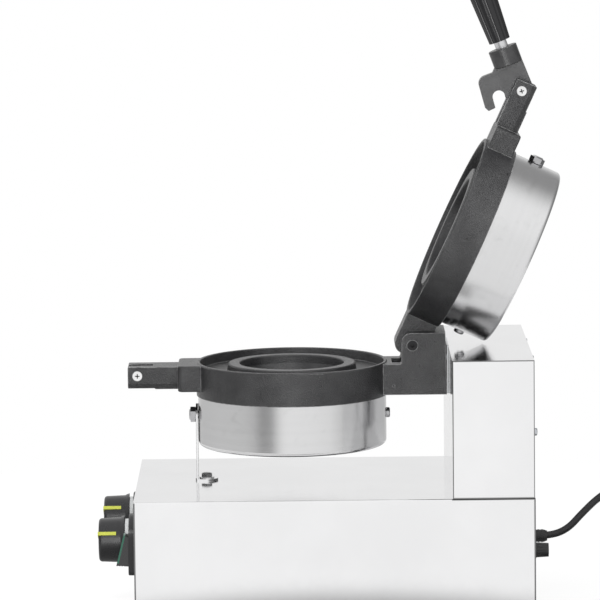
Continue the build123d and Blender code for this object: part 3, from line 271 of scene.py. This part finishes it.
class Wiring:
    """A node tree with short calls for making and joining its nodes."""

    def __init__(self, tree):
        self.tree = tree

    def feed(self, socket, value):
        """Joins another node's socket to this one, or sets this one to a number, place or RGB colour."""
        if isinstance(value, bpy.types.NodeSocket):
            self.tree.links.new(value, socket)
        elif socket.type == "RGBA":
            socket.default_value = (*value, 1.0)
        else:
            socket.default_value = value

    def node(self, kind, inputs=None, **settings):
        made = self.tree.nodes.new(kind)
        for name, value in settings.items():
            setattr(made, name, value)
        for name, value in (inputs or {}).items():
            self.feed(made.inputs[name], value)
        return made

    def math(self, operation, *values):
        return self.node("ShaderNodeMath", dict(enumerate(values)), operation=operation).outputs[0]

    def times(self, first, second):
        return self.math("MULTIPLY", first, second)

    def vector_math(self, operation, *values):
        made = self.node("ShaderNodeVectorMath", dict(enumerate(values)), operation=operation)
        return made.outputs["Value" if operation in ("DOT_PRODUCT", "LENGTH") else "Vector"]

    def diagonal(self, first, second):
        """How far a point lies from the origin of two square axes."""
        squares = self.math("ADD", self.times(first, first), self.times(second, second))
        return self.math("SQRT", squares)

    def split(self, vector):
        return self.node("ShaderNodeSeparateXYZ", {"Vector": vector}).outputs

    def tilted(self, vector, pivot, angle):
        """The place turned by the angle about a line through the pivot, along X."""
        inputs = {"Vector": vector, "Center": pivot, "Angle": angle}
        return self.node("ShaderNodeVectorRotate", inputs, rotation_type="X_AXIS").outputs[0]

    def ramp(self, value, low, high, to_low=0.0, to_high=1.0, smooth=True):
        made = self.node(
            "ShaderNodeMapRange",
            {"Value": value, "From Min": low, "From Max": high, "To Min": to_low, "To Max": to_high},
            interpolation_type="SMOOTHSTEP" if smooth else "LINEAR",
        )
        return made.outputs[0]

    def mix(self, factor, first, second):
        inputs = dict(zip(MIX_INPUTS, (factor, first, second)))
        return self.node("ShaderNodeMix", inputs, data_type="RGBA").outputs[MIX_RESULT]

    def noise(self, vector, scale, detail=3.0, roughness=0.55):
        made = self.node(
            "ShaderNodeTexNoise",
            {"Vector": vector, "Scale": scale, "Detail": detail, "Roughness": roughness},
        )
        return made.outputs["Fac"]

    def rounded_normal(self, width):
        """The normal that edges would have if they were rounded to this width."""
        return self.node("ShaderNodeBevel", {"Radius": width}, samples=6).outputs[0]


def shader_group(name, inputs, outputs):
    """A node group with its sockets: (name, kind, start value) for inputs, (name, kind) for outputs."""
    group = bpy.data.node_groups.new(name, "ShaderNodeTree")
    for label, kind, start in inputs:
        socket = group.interface.new_socket(label, in_out="INPUT", socket_type=kind)
        if start is not None:
            socket.default_value = start
    for label, kind in outputs:
        group.interface.new_socket(label, in_out="OUTPUT", socket_type=kind)
    wiring = Wiring(group)
    return group, wiring, wiring.node("NodeGroupInput").outputs, wiring.node("NodeGroupOutput").inputs


VECTOR = "NodeSocketVector"
FLOAT = "NodeSocketFloat"


def make_cast_grain():
    """Sand-cast skin: close grains, scattered pits and a slow mottle."""
    group, w, given, out = shader_group(
        "cast grain",
        [("Vector", VECTOR, None), ("Grains per Metre", FLOAT, 900.0), ("Pit Share", FLOAT, 0.2)],
        [("Height", FLOAT), ("Pits", FLOAT), ("Mottle", FLOAT)],
    )
    place, per_metre, pit_share = given["Vector"], given["Grains per Metre"], given["Pit Share"]
    fine_scale, spot_scale, mottle_scale = 2.1, 0.35, 0.05
    grain_depth, pit_depth = -0.7, -0.8
    pit_level, pit_spread, pit_rim = 0.78, 0.3, 0.80
    grains = w.node(
        "ShaderNodeTexVoronoi",
        {"Vector": place, "Scale": per_metre, "Smoothness": 0.6},
        feature="SMOOTH_F1",
    )
    fine = w.noise(place, w.times(per_metre, fine_scale), detail=2.0)
    body = w.math("MULTIPLY_ADD", grains.outputs["Distance"], grain_depth, fine)
    spots = w.noise(place, w.times(per_metre, spot_scale), detail=1.0)
    pit_start = w.math("SUBTRACT", pit_level, w.times(pit_share, pit_spread))
    pits = w.ramp(spots, pit_start, pit_rim)
    w.feed(out["Height"], w.math("MULTIPLY_ADD", pits, pit_depth, body))
    w.feed(out["Pits"], pits)
    w.feed(out["Mottle"], w.noise(place, w.times(per_metre, mottle_scale), detail=4.0, roughness=0.6))
    return group


def make_edge_painted_highlight():
    """Painted highlight on edges: 1 on the sharpest edges, broken up by a noise."""
    group, w, given, out = shader_group(
        "edge rub",
        [("Vector", VECTOR, None), ("Width", FLOAT, 0.0015), ("Breaks per Metre", FLOAT, 160.0)],
        [("Mask", FLOAT)],
    )
    plain = w.node("ShaderNodeNewGeometry").outputs["Normal"]
    rounded = w.rounded_normal(given["Width"])
    turn = w.math("SUBTRACT", 1.0, w.vector_math("DOT_PRODUCT", rounded, plain))
    edge = w.ramp(turn, 0.01, 0.16)
    breaks = w.noise(given["Vector"], given["Breaks per Metre"])
    w.feed(out["Mask"], w.times(edge, w.ramp(breaks, 0.30, 0.62, to_low=0.25)))
    return group


def make_painted_fold_shade():
    """Painted dark reflection and shadow: 1 on a box's upright folds and ends and, above the deck, on its
    top folds and, as painted shadow, along its foot.

    The reaches are in metres, measured from the deck, the tower's front and the shell's sides.
    """
    group, w, given, out = shader_group(
        "fold lines",
        [
            ("Vector", VECTOR, None),
            ("Width", FLOAT, 0.001),
            ("Deck", FLOAT, 0.13),
            ("Tower Front", FLOAT, 0.11),
            ("Half Width", FLOAT, 0.13),
            ("Half Length", FLOAT, 0.19),
        ],
        [("Mask", FLOAT)],
    )
    above_reach, foot_reach = (0.002, 0.004), (0.0006, 0.0018)
    front_reach, side_reach, end_reach = (-0.0015, -0.0005), (-0.0025, -0.0015), (-0.0018, -0.0010)

    normal = w.split(w.rounded_normal(given["Width"]))
    place = w.split(given["Vector"])

    def past(value, limit, reach):
        return w.ramp(w.math("SUBTRACT", value, limit), *reach)

    upright = w.math("ABSOLUTE", w.times(normal["X"], normal["Y"]))
    level = w.math("ABSOLUTE", w.times(normal["X"], normal["Z"]))
    above_deck = past(place["Z"], given["Deck"], above_reach)
    # painted dark reflection on the folds
    folds = w.ramp(w.math("MAXIMUM", upright, w.times(level, above_deck)), 0.04, 0.3)

    off_deck = w.math("ABSOLUTE", w.math("SUBTRACT", place["Z"], given["Deck"]))
    on_tower = past(place["Y"], given["Tower Front"], front_reach)
    on_side = past(w.math("ABSOLUTE", place["X"]), given["Half Width"], side_reach)
    # painted shadow along the tower's foot, where it meets the deck
    foot = w.times(w.ramp(off_deck, *foot_reach, to_low=1.0, to_high=0.0), w.times(on_tower, on_side))

    sideways = w.ramp(w.math("ABSOLUTE", normal["X"]), 0.6, 0.9)
    at_end = past(w.math("ABSOLUTE", place["Y"]), given["Half Length"], end_reach)
    ends = w.times(at_end, sideways)
    w.feed(out["Mask"], w.math("MAXIMUM", w.math("MAXIMUM", folds, foot), ends))
    return group


def make_brush_lines():
    """Fine lines that run along the vector's X, as a belt leaves them."""
    group, w, given, out = shader_group(
        "brush lines",
        [("Vector", VECTOR, None), ("Lines per Metre", FLOAT, 4000.0), ("Stretch", FLOAT, 0.012)],
        [("Height", FLOAT), ("Tone", FLOAT)],
    )
    broad_scale = 0.08
    place = w.split(given["Vector"])
    along = w.times(place["X"], given["Stretch"])
    joined = w.node("ShaderNodeCombineXYZ", {"X": along, "Y": place["Y"], "Z": place["Z"]}).outputs[0]
    per_metre = given["Lines per Metre"]
    broad = w.noise(joined, w.times(per_metre, broad_scale), roughness=0.6)
    w.feed(out["Height"], w.noise(joined, per_metre, detail=2.0, roughness=0.7))
    w.feed(out["Tone"], w.ramp(broad, 0.3, 0.7))
    return group


def make_handling():
    """Slow clouds and a few wiped smears, as handling leaves on a smooth surface."""
    group, w, given, out = shader_group(
        "handling marks",
        [("Vector", VECTOR, None), ("Clouds per Metre", FLOAT, 14.0)],
        [("Clouds", FLOAT), ("Smears", FLOAT)],
    )
    smear_scale = 2.3
    place, per_metre = given["Vector"], given["Clouds per Metre"]
    clouds = w.noise(place, per_metre, detail=5.0)
    smears = w.node(
        "ShaderNodeTexNoise",
        {"Vector": place, "Scale": w.times(per_metre, smear_scale), "Detail": 4.0, "Distortion": 1.6},
    )
    w.feed(out["Clouds"], w.ramp(clouds, 0.32, 0.68))
    w.feed(out["Smears"], w.ramp(smears.outputs["Fac"], 0.56, 0.74))
    return group


def make_moulded_skin():
    """Spark-eroded mould texture on plastic and rubber."""
    group, w, given, out = shader_group(
        "moulded skin",
        [("Vector", VECTOR, None), ("Grains per Metre", FLOAT, 1800.0)],
        [("Height", FLOAT), ("Tone", FLOAT)],
    )
    cell_scale, cell_depth, tone_scale = 0.7, 0.5, 0.02
    place, per_metre = given["Vector"], given["Grains per Metre"]
    fine = w.noise(place, per_metre, roughness=0.65)
    cells = w.node("ShaderNodeTexVoronoi", {"Vector": place, "Scale": w.times(per_metre, cell_scale)})
    w.feed(out["Height"], w.math("MULTIPLY_ADD", cells.outputs["Distance"], cell_depth, fine))
    w.feed(out["Tone"], w.noise(place, w.times(per_metre, tone_scale), detail=4.0))
    return group


def make_round_axes():
    """Coordinates about an axis along Z: X runs round it, Y is the distance from it, Z the height.

    X is in metres at the given radius.
    """
    group, w, given, out = shader_group(
        "round axes",
        [("Vector", VECTOR, None), ("Centre", VECTOR, (0.0, 0.0, 0.0)), ("Radius", FLOAT, 0.09)],
        [("Vector", VECTOR)],
    )
    local = w.split(w.vector_math("SUBTRACT", given["Vector"], given["Centre"]))
    around = w.times(w.math("ARCTAN2", local["Y"], local["X"]), given["Radius"])
    distance = w.diagonal(local["X"], local["Y"])
    joined = w.node("ShaderNodeCombineXYZ", {"X": around, "Y": distance, "Z": local["Z"]})
    w.feed(out["Vector"], joined.outputs[0])
    return group


CAST_GRAIN = make_cast_grain()
EDGE_PAINTED_HIGHLIGHT = make_edge_painted_highlight()
PAINTED_FOLD_SHADE = make_painted_fold_shade()
BRUSH_LINES = make_brush_lines()
HANDLING = make_handling()
MOULDED_SKIN = make_moulded_skin()
ROUND_AXES = make_round_axes()

# finishes; metres


class Finish(Wiring):
    """A material with one Principled shader, ready for its nodes."""

    def __init__(self, name, colour, metallic=0.0, **constants):
        self.material = bpy.data.materials.new(name)
        self.material.use_nodes = True
        self.material.diffuse_color = (*colour, 1.0)
        super().__init__(self.material.node_tree)
        self.tree.nodes.clear()
        self.shader = self.node("ShaderNodeBsdfPrincipled", {"Base Color": colour, "Metallic": metallic})
        for label, value in constants.items():
            self.shader.inputs[label.replace("_", " ").title()].default_value = value
        self.node("ShaderNodeOutputMaterial", {"Surface": self.shader.outputs[0]})
        self.place = self.node("ShaderNodeTexCoord").outputs["Object"]

    def group(self, tree, vector=None, **values):
        made = self.node("ShaderNodeGroup", node_tree=tree)
        self.feed(made.inputs["Vector"], vector or self.place)
        for label, value in values.items():
            self.feed(made.inputs[label.replace("_", " ").title().replace(" Per ", " per ")], value)
        return made.outputs

    def cover(self, base, colour, mask, share):
        """The base with a colour over it where the mask says, at most to that share."""
        return self.mix(self.times(mask, share), base, colour)

    def paint(self, colour):
        self.feed(self.shader.inputs["Base Color"], colour)

    def vary_roughness(self, factor, low, high):
        self.feed(self.shader.inputs["Roughness"], self.ramp(factor, 0.0, 1.0, low, high, smooth=False))

    def bump(self, height, depth, strength):
        node = self.node("ShaderNodeBump", {"Height": height, "Distance": depth, "Strength": strength})
        self.feed(self.shader.inputs["Normal"], node.outputs[0])


def shade(colour, amount):
    return tuple(min(1.0, value * amount) for value in colour)


def casting():
    """Black coated aluminium casting, painted a lighter grey on its edges as a highlight."""
    f = Finish("coated_casting", (0.020, 0.020, 0.021))
    grain = f.group(CAST_GRAIN, grains_per_metre=700.0, pit_share=0.25)
    painted_highlight = f.group(EDGE_PAINTED_HIGHLIGHT, width=0.0016, breaks_per_metre=220.0)
    coat = f.mix(f.ramp(grain["Mottle"], 0.3, 0.7), (0.010, 0.010, 0.011), (0.026, 0.026, 0.027))
    # painted shade: the pits are coloured darker than the coat
    pits_painted_dark = f.mix(grain["Pits"], coat, (0.006, 0.006, 0.006))
    # painted highlight: a lighter grey on the sharp edges
    f.paint(f.cover(pits_painted_dark, (0.32, 0.32, 0.322), painted_highlight["Mask"], 0.75))
    f.vary_roughness(grain["Mottle"], 0.24, 0.36)
    f.bump(grain["Height"], depth=0.0005, strength=0.8)
    return f.material


def lever_coat():
    """Satin black coat on the lever, with a painted grey highlight on its edges."""
    f = Finish("lever_coat", (0.028, 0.028, 0.029))
    skin = f.group(CAST_GRAIN, grains_per_metre=1400.0, pit_share=0.05)
    painted_highlight = f.group(EDGE_PAINTED_HIGHLIGHT, width=0.0008, breaks_per_metre=300.0)
    coat = f.mix(f.ramp(skin["Mottle"], 0.3, 0.7), (0.020, 0.020, 0.021), (0.036, 0.036, 0.037))
    # painted highlight: a grey on the sharp edges
    f.paint(f.cover(coat, (0.16, 0.16, 0.16), painted_highlight["Mask"], 0.5))
    f.vary_roughness(skin["Mottle"], 0.28, 0.4)
    f.bump(skin["Height"], depth=0.00015, strength=0.5)
    return f.material


SHELL_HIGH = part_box("base_shell")[1]
TOWER_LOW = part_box("tower_shell")[0]


def polished_sheet(name, colour, low, high):
    """Polished stainless sheet with faint rolling lines, wiped clouds, painted dark reflection on its folds
    and painted shadow along the tower's foot.
    """
    f = Finish(name, colour, metallic=1.0)
    lines = f.group(BRUSH_LINES, lines_per_metre=2600.0, stretch=0.02)
    marks = f.group(HANDLING, clouds_per_metre=9.0)
    folds = f.group(
        PAINTED_FOLD_SHADE,
        width=0.0008,
        deck=SHELL_HIGH.z,
        tower_front=TOWER_LOW.y,
        half_width=SHELL_HIGH.x,
        half_length=SHELL_HIGH.y,
    )
    clouded = f.mix(marks["Clouds"], shade(colour, 0.975), shade(colour, 1.02))
    # painted dark reflection on the folds and ends, and painted shadow along the tower's foot
    f.paint(f.cover(clouded, shade(colour, 0.12), folds["Mask"], 0.9))
    spread = f.math("MULTIPLY_ADD", marks["Smears"], 0.5, f.times(lines["Tone"], 0.5))
    f.vary_roughness(spread, low, high)
    f.bump(lines["Height"], depth=0.000012, strength=0.4)
    return f.material


CAN_LOW, CAN_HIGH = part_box("lower_heater_can")
CAN_CENTRE = (0.0, (CAN_LOW.y + CAN_HIGH.y) / 2, 0.0)
LID_CAN_SHIFT = -0.002
LID_CAN_CENTRE = (0.0, CAN_CENTRE[1] + LID_CAN_SHIFT, 0.0)
LID_HINGE = joints["lid_hinge"]["pos_m"]
LID_OPENING = radians(joints["lid_hinge"]["range_deg"][1])


def brushed_can(name, centre, on_lid, low, high):
    """A drawn can, brushed round its side. The lid's can takes its lines from where it stands shut."""
    f = Finish(name, (0.72, 0.72, 0.725), metallic=1.0)
    start = f.tilted(f.place, LID_HINGE, LID_OPENING) if on_lid else f.place
    axes = f.group(ROUND_AXES, vector=start, centre=centre)
    lines = f.group(BRUSH_LINES, vector=axes["Vector"], lines_per_metre=3200.0, stretch=0.01)
    marks = f.group(HANDLING, clouds_per_metre=16.0)
    toned = f.mix(lines["Tone"], (0.713, 0.713, 0.717), (0.728, 0.728, 0.732))
    f.paint(f.cover(toned, (0.5, 0.5, 0.5), marks["Smears"], 0.2))
    f.vary_roughness(lines["Tone"], low, high)
    f.bump(lines["Height"], depth=0.000015, strength=0.4)
    return f.material


HARDWARE_CLOUDS = 70.0


def plated_steel(name, colour, low, high, grains=2200.0, depth=0.00002):
    """Plated steel hardware with a painted highlight on its edges, and faint clouds in the plating."""
    f = Finish(name, colour, metallic=1.0)
    marks = f.group(HANDLING, clouds_per_metre=HARDWARE_CLOUDS)
    skin = f.group(MOULDED_SKIN, grains_per_metre=grains)
    painted_highlight = f.group(EDGE_PAINTED_HIGHLIGHT, width=0.0004, breaks_per_metre=500.0)
    toned = f.mix(marks["Clouds"], shade(colour, 0.86), shade(colour, 1.06))
    # painted highlight: a brighter colour on the sharp edges
    f.paint(f.cover(toned, shade(colour, 1.25), painted_highlight["Mask"], 0.5))
    f.vary_roughness(marks["Clouds"], low, high)
    f.bump(skin["Height"], depth, strength=0.4)
    return f.material


WASHER_RISE = 0.0031
SHARP_STEP = 0.0001


def bolt_and_washer():
    """The strap's bolt: a dark head and nut, and a bright washer under the head."""
    f = Finish("dark_bolt_steel", (0.20, 0.20, 0.205), metallic=1.0)
    marks = f.group(HANDLING, clouds_per_metre=HARDWARE_CLOUDS)
    skin = f.group(MOULDED_SKIN, grains_per_metre=2200.0)
    washer_top = SHELL_HIGH.z + WASHER_RISE
    in_head = f.ramp(f.split(f.place)["Z"], washer_top, washer_top + SHARP_STEP)
    dark = f.mix(marks["Clouds"], (0.15, 0.15, 0.152), (0.24, 0.24, 0.243))
    f.paint(f.mix(in_head, (0.78, 0.78, 0.785), dark))
    f.vary_roughness(marks["Clouds"], 0.25, 0.4)
    f.bump(skin["Height"], depth=0.00002, strength=0.4)
    return f.material


RECESS_REACH = 0.0023


def latch_pin_head(name, node):
    """A bright pin with painted shade: near black over its crossed recess."""
    colour = (0.92, 0.92, 0.92)
    low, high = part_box(node)
    face = high.x - SHARP_STEP
    centre = (low + high) / 2
    f = Finish(name, colour, metallic=1.0)
    marks = f.group(HANDLING, clouds_per_metre=HARDWARE_CLOUDS)
    place = f.split(f.place)
    across = f.math("SUBTRACT", place["Y"], centre.y)
    rise = f.math("SUBTRACT", place["Z"], centre.z)
    from_axis = f.diagonal(across, rise)
    painted_recess_shade = f.ramp(from_axis, RECESS_REACH, RECESS_REACH + SHARP_STEP, to_low=1.0, to_high=0.0)
    inside = f.ramp(f.math("ABSOLUTE", place["X"]), face - SHARP_STEP, face, to_low=1.0, to_high=0.0)
    plated = f.mix(marks["Clouds"], shade(colour, 0.88), shade(colour, 1.05))
    # painted shade: near black round the axis, below the head's face
    f.paint(f.cover(plated, (0.02, 0.02, 0.02), painted_recess_shade, inside))
    f.vary_roughness(marks["Clouds"], 0.16, 0.26)
    return f.material


def heated_steel():
    """Sheathed element and bulb, browned by heat."""
    f = Finish("heat_stained_steel", (0.40, 0.38, 0.36), metallic=1.0)
    marks = f.group(HANDLING, clouds_per_metre=40.0)
    skin = f.group(MOULDED_SKIN, grains_per_metre=1500.0)
    straw = f.mix(marks["Clouds"], (0.42, 0.36, 0.27), (0.33, 0.32, 0.36))
    f.paint(f.mix(marks["Smears"], straw, (0.2, 0.19, 0.19)))
    f.vary_roughness(skin["Tone"], 0.34, 0.5)
    f.bump(skin["Height"], depth=0.00004, strength=0.5)
    return f.material


def fibre_board():
    """Pressed white ceramic fibre."""
    f = Finish("ceramic_fibre", (0.86, 0.85, 0.81), roughness=0.95)
    strands = f.group(BRUSH_LINES, lines_per_metre=900.0, stretch=0.2)
    skin = f.group(MOULDED_SKIN, grains_per_metre=700.0)
    f.paint(f.mix(skin["Tone"], (0.80, 0.79, 0.74), (0.90, 0.89, 0.86)))
    f.bump(f.math("ADD", strands["Height"], skin["Height"]), depth=0.0004, strength=0.8)
    return f.material


def moulded(name, colour, low, high, grains=1800.0, depth=0.00006):
    """Moulded plastic or rubber with its mould texture and a little handling shine."""
    f = Finish(name, colour)
    skin = f.group(MOULDED_SKIN, grains_per_metre=grains)
    marks = f.group(HANDLING, clouds_per_metre=55.0)
    f.paint(f.mix(skin["Tone"], shade(colour, 0.82), shade(colour, 1.2)))
    f.vary_roughness(marks["Clouds"], low, high)
    f.bump(skin["Height"], depth, strength=0.5)
    return f.material


ROCKER_PIVOT = joints["switch_tilt"]["pos_m"]
ROCKER_TILT = radians(joints["switch_tilt"]["range_deg"][1] / 2)
ROCKER_FACE = -0.2044
CAP_THICK = 0.0016
CAP_EDGE = 0.0003
RIDGE_TOP = -0.0125
RIDGE_EDGE = 0.0005


def rocker():
    """A black rocker with a clear dark green cap over its face, and black ridges at its lower end."""
    f = Finish("green_rocker", (0.01, 0.15, 0.08), coat_weight=0.6, coat_roughness=0.05)
    skin = f.group(MOULDED_SKIN, grains_per_metre=900.0)
    place = f.split(f.tilted(f.place, ROCKER_PIVOT, ROCKER_TILT))
    cap_back = ROCKER_FACE + CAP_THICK
    ridge_top = ROCKER_PIVOT[2] + RIDGE_TOP
    cap = f.ramp(place["Y"], cap_back, cap_back + CAP_EDGE, to_low=1.0, to_high=0.0)
    above = f.ramp(place["Z"], ridge_top, ridge_top + RIDGE_EDGE)
    green = f.mix(skin["Tone"], (0.004, 0.085, 0.05), (0.008, 0.14, 0.08))
    f.paint(f.cover((0.012, 0.012, 0.013), green, cap, above))
    f.vary_roughness(skin["Tone"], 0.14, 0.26)
    return f.material


# each slot's finish: a colour, then the lowest and highest roughness

STEEL = (0.88, 0.88, 0.885)
FINISHES = {
    "polished_steel": polished_sheet("polished_sheet", STEEL, 0.08, 0.14),
    "inner_steel": polished_sheet("inner_sheet", (0.62, 0.63, 0.64), 0.28, 0.4),
    "strap_steel": polished_sheet("strap_sheet", STEEL, 0.08, 0.14),
    "can_steel": brushed_can("brushed_can", CAN_CENTRE, False, 0.158, 0.17),
    "casting": casting(),
    "lever_paint": lever_coat(),
    "pin_steel": plated_steel("turned_steel", (0.72, 0.72, 0.73), 0.2, 0.32),
    "bright_screw": plated_steel("nickel_screw", (0.50, 0.50, 0.51), 0.18, 0.3),
    "zinc": plated_steel("zinc_plating", (0.62, 0.64, 0.67), 0.28, 0.42, grains=1500.0, depth=0.00004),
    "element_steel": heated_steel(),
    "insulation": fibre_board(),
    "foot_rubber": moulded("foot_rubber", (0.022, 0.022, 0.022), 0.7, 0.85, grains=1400.0, depth=0.0001),
    "cord_jacket": moulded("cord_jacket", (0.016, 0.016, 0.017), 0.34, 0.46, grains=2400.0, depth=0.00004),
    "plug_plastic": moulded("plug_plastic", (0.02, 0.02, 0.021), 0.42, 0.55, grains=1600.0, depth=0.00008),
    "plug_metal": plated_steel("plug_nickel", (0.76, 0.75, 0.72), 0.18, 0.28),
    "tie_plastic": moulded("tie_plastic", (0.05, 0.05, 0.052), 0.5, 0.65, grains=2600.0),
    "black_plastic": moulded("black_plastic", (0.018, 0.018, 0.019), 0.35, 0.5),
    "grip_plastic": moulded("grip_plastic", (0.008, 0.008, 0.009), 0.12, 0.2, grains=1200.0, depth=0.00002),
    "knob_plastic": moulded("knob_plastic", (0.010, 0.010, 0.011), 0.22, 0.34, grains=2000.0, depth=0.00003),
    "pointer_plastic": moulded("pointer_plastic", (0.50, 0.53, 0.08), 0.4, 0.5),
    "scale_ring": moulded("scale_ring", (0.62, 0.63, 0.63), 0.4, 0.5),
    "switch_green": rocker(),
    "control_plastic": moulded("control_plastic", (0.06, 0.045, 0.035), 0.4, 0.55),
    "terminal_plastic": moulded("terminal_plastic", (0.80, 0.80, 0.76), 0.35, 0.5),
}

# parts whose finish differs from the rest of their slot
NODE_FINISHES = {
    "upper_heater_can": brushed_can("brushed_lid_can", LID_CAN_CENTRE, True, 0.21, 0.225),
    "lower_latch_pin": latch_pin_head("lower_nickel_pin", "lower_latch_pin"),
    "upper_latch_pin": latch_pin_head("upper_nickel_pin", "upper_latch_pin"),
    # the hinge pin is coloured near black, darker than the other pins
    "hinge_pin": plated_steel("blackened_steel", (0.05, 0.05, 0.052), 0.4, 0.55),
    "support_bolt": bolt_and_washer(),
}


def finish_parts():
    for name, part in frame["nodes"].items():
        for slot in part.material_slots:
            slot.material = NODE_FINISHES.get(name) or FINISHES[slot.material.name]


finish_parts()
cord.data.materials.append(FINISHES["cord_jacket"])
tie.data.materials.append(FINISHES["tie_plastic"])

# studio; metres

WHITE = (1.0, 1.0, 1.0)
AMBIENT = 0.42
FRONT_FILL = 1.15
REAR_FILL = 0.55
FLOOR_RADIUS = 0.9
FLOOR_SIDES = 96
FLOOR_COLOUR = (0.7, 0.7, 0.7)
FLOOR_WHITE_SHARE = 0.8
CAMERA_BOOST = 0.12
PAINTED_SHADOW_REACH = (0.27, 0.40)
PAINTED_SHADOW_LEVEL = 0.35
CEILING_DARK = 0.34
CEILING_BRIGHT = 1.06
PRESS_MIDDLE = Vector((0.0, 0.0, 0.28))

# name, place, size in metres, and power in watts
SOFTBOXES = (
    ("main_softbox", (2.4, -0.2, 1.6), (1.4, 1.4), 30.0),
    ("overhead_softbox", (0.5, -0.1, 2.4), (1.4, 1.4), 34.0),
    ("front_softbox", (0.8, -2.6, 1.2), (1.2, 1.6), 14.0),
)
DARK_SOFTBOXES = (
    ("strip_softbox", (2.6, -0.16, 0.35), (0.7, 1.7), 24.0),
    ("high_softbox", (1.44, 1.11, 2.1), (1.1, 1.1), 20.0),
)
DARK_PARTS = (
    "lower_mould",
    "upper_mould",
    "hook_lever",
    "handle_grip",
    "thermostat_knob",
    "timer_knob",
)

# how bright the walls look in the metal, by the compass angle from the camera's side
WALL_LEVELS = (
    (-180, 0.86),
    (-165, 0.80),
    (-150, 0.62),
    (-98, 0.68),
    (-62, 0.66),
    (-48, 0.58),
    (-36, 0.34),
    (-26, 0.40),
    (-15, 0.88),
    (-8, 1.0),
    (25, 0.97),
    (46, 0.92),
    (62, 0.74),
    (80, 0.56),
    (100, 0.38),
    (125, 0.22),
    (145, 0.26),
    (162, 0.62),
    (172, 0.86),
    (180, 0.86),
)


def seen_directly(wiring):
    """1 for rays from the camera, from mirrors and through glass; and the light path's own outputs."""
    path = wiring.node("ShaderNodeLightPath").outputs
    seen = wiring.math("MAXIMUM", path["Is Camera Ray"], path["Is Transmission Ray"])
    return wiring.math("MAXIMUM", seen, path["Is Glossy Ray"]), path


def wall_level(wiring, direction):
    """White walls with soft grey gaps between them, and a ceiling that is darker at the rear left."""
    compass = wiring.math("ARCTAN2", direction["Y"], direction["X"])
    share_of_turn = wiring.math("MULTIPLY_ADD", compass, 1 / (2 * pi), 0.5)
    bands = wiring.node("ShaderNodeValToRGB", {"Fac": share_of_turn})
    ramp = bands.color_ramp
    while len(ramp.elements) < len(WALL_LEVELS):
        ramp.elements.new(0.5)
    for element, (degrees, level) in zip(ramp.elements, WALL_LEVELS):
        element.position = (degrees + 180) / 360
        element.color = (level, level, level, 1.0)
    rear_ceiling = wiring.ramp(direction["X"], -0.4, 0.4, CEILING_DARK, CEILING_BRIGHT)
    ceiling = wiring.mix(wiring.ramp(direction["Y"], 0.1, 0.3), WHITE, rear_ceiling)
    return wiring.mix(wiring.ramp(direction["Z"], 0.16, 0.6), bands.outputs["Color"], ceiling)


def light_world():
    world = bpy.data.worlds.new("studio")
    bpy.context.scene.world = world
    world.use_nodes = True
    world.node_tree.nodes.clear()
    w = Wiring(world.node_tree)
    seen, path = seen_directly(w)
    direction = w.split(w.node("ShaderNodeTexCoord").outputs["Generated"])
    mirrored = w.mix(path["Is Glossy Ray"], WHITE, wall_level(w, direction))
    fill = w.ramp(direction["Y"], -0.7, 0.9, FRONT_FILL * AMBIENT, REAR_FILL * AMBIENT)
    shader = w.node("ShaderNodeBackground", {"Color": w.mix(seen, fill, mirrored), "Strength": 1.0})
    w.node("ShaderNodeOutputWorld", {"Surface": shader.outputs[0]})


def pale_floor():
    """Matte and shaded by the press, but mostly white to the camera; in reflections white with a painted
    shadow ring round the press.
    """
    material = bpy.data.materials.new("pale_floor")
    material.use_nodes = True
    material.node_tree.nodes.clear()
    w = Wiring(material.node_tree)
    seen, path = seen_directly(w)
    matte = w.node("ShaderNodeBsdfDiffuse", {"Color": FLOOR_COLOUR})
    strength = w.math("MULTIPLY_ADD", path["Is Camera Ray"], CAMERA_BOOST, 1.0)
    spot = w.node("ShaderNodeTexCoord").outputs["Object"]
    # painted shadow: in reflections the floor turns grey within this reach of the press
    painted_shadow = w.ramp(w.vector_math("LENGTH", spot), *PAINTED_SHADOW_REACH, PAINTED_SHADOW_LEVEL, 1.0)
    colour = w.mix(path["Is Glossy Ray"], WHITE, painted_shadow)
    white = w.node("ShaderNodeEmission", {"Color": colour, "Strength": strength})
    share = w.times(seen, FLOOR_WHITE_SHARE)
    both = w.node("ShaderNodeMixShader", {"Fac": share, 1: matte.outputs[0], 2: white.outputs[0]})
    w.node("ShaderNodeOutputMaterial", {"Surface": both.outputs[0]})
    return material


def lay_floor():
    mesh = bpy.data.meshes.new("floor")
    turns = [2 * pi * index / FLOOR_SIDES for index in range(FLOOR_SIDES)]
    rim = [(FLOOR_RADIUS * cos(turn), FLOOR_RADIUS * sin(turn), 0) for turn in turns]
    mesh.from_pydata(rim, [], [tuple(range(FLOOR_SIDES))])
    mesh.materials.append(pale_floor())
    add_object("floor", mesh)


def softbox(name, place, size, power, seen_in_gloss=False):
    light = bpy.data.lights.new(name, "AREA")
    light.shape = "RECTANGLE"
    light.size, light.size_y = size
    light.energy = power
    lamp = add_object(name, light)
    lamp.location = place
    lamp.rotation_mode = "QUATERNION"
    lamp.rotation_quaternion = (PRESS_MIDDLE - Vector(place)).to_track_quat("-Z", "Y")
    lamp.visible_glossy = seen_in_gloss
    lamp.visible_camera = False
    return lamp


def light_press():
    """Three softboxes for the whole press, and two that light the dark parts only."""
    for row in SOFTBOXES:
        softbox(*row)
    dark_parts = bpy.data.collections.new("dark_parts")
    for name in DARK_PARTS:
        dark_parts.objects.link(frame["nodes"][name])
    for row in DARK_SOFTBOXES:
        softbox(*row, seen_in_gloss=True).light_linking.receiver_collection = dark_parts


light_world()
lay_floor()
light_press()

scene = bpy.context.scene
scene.view_settings.view_transform = "Standard"
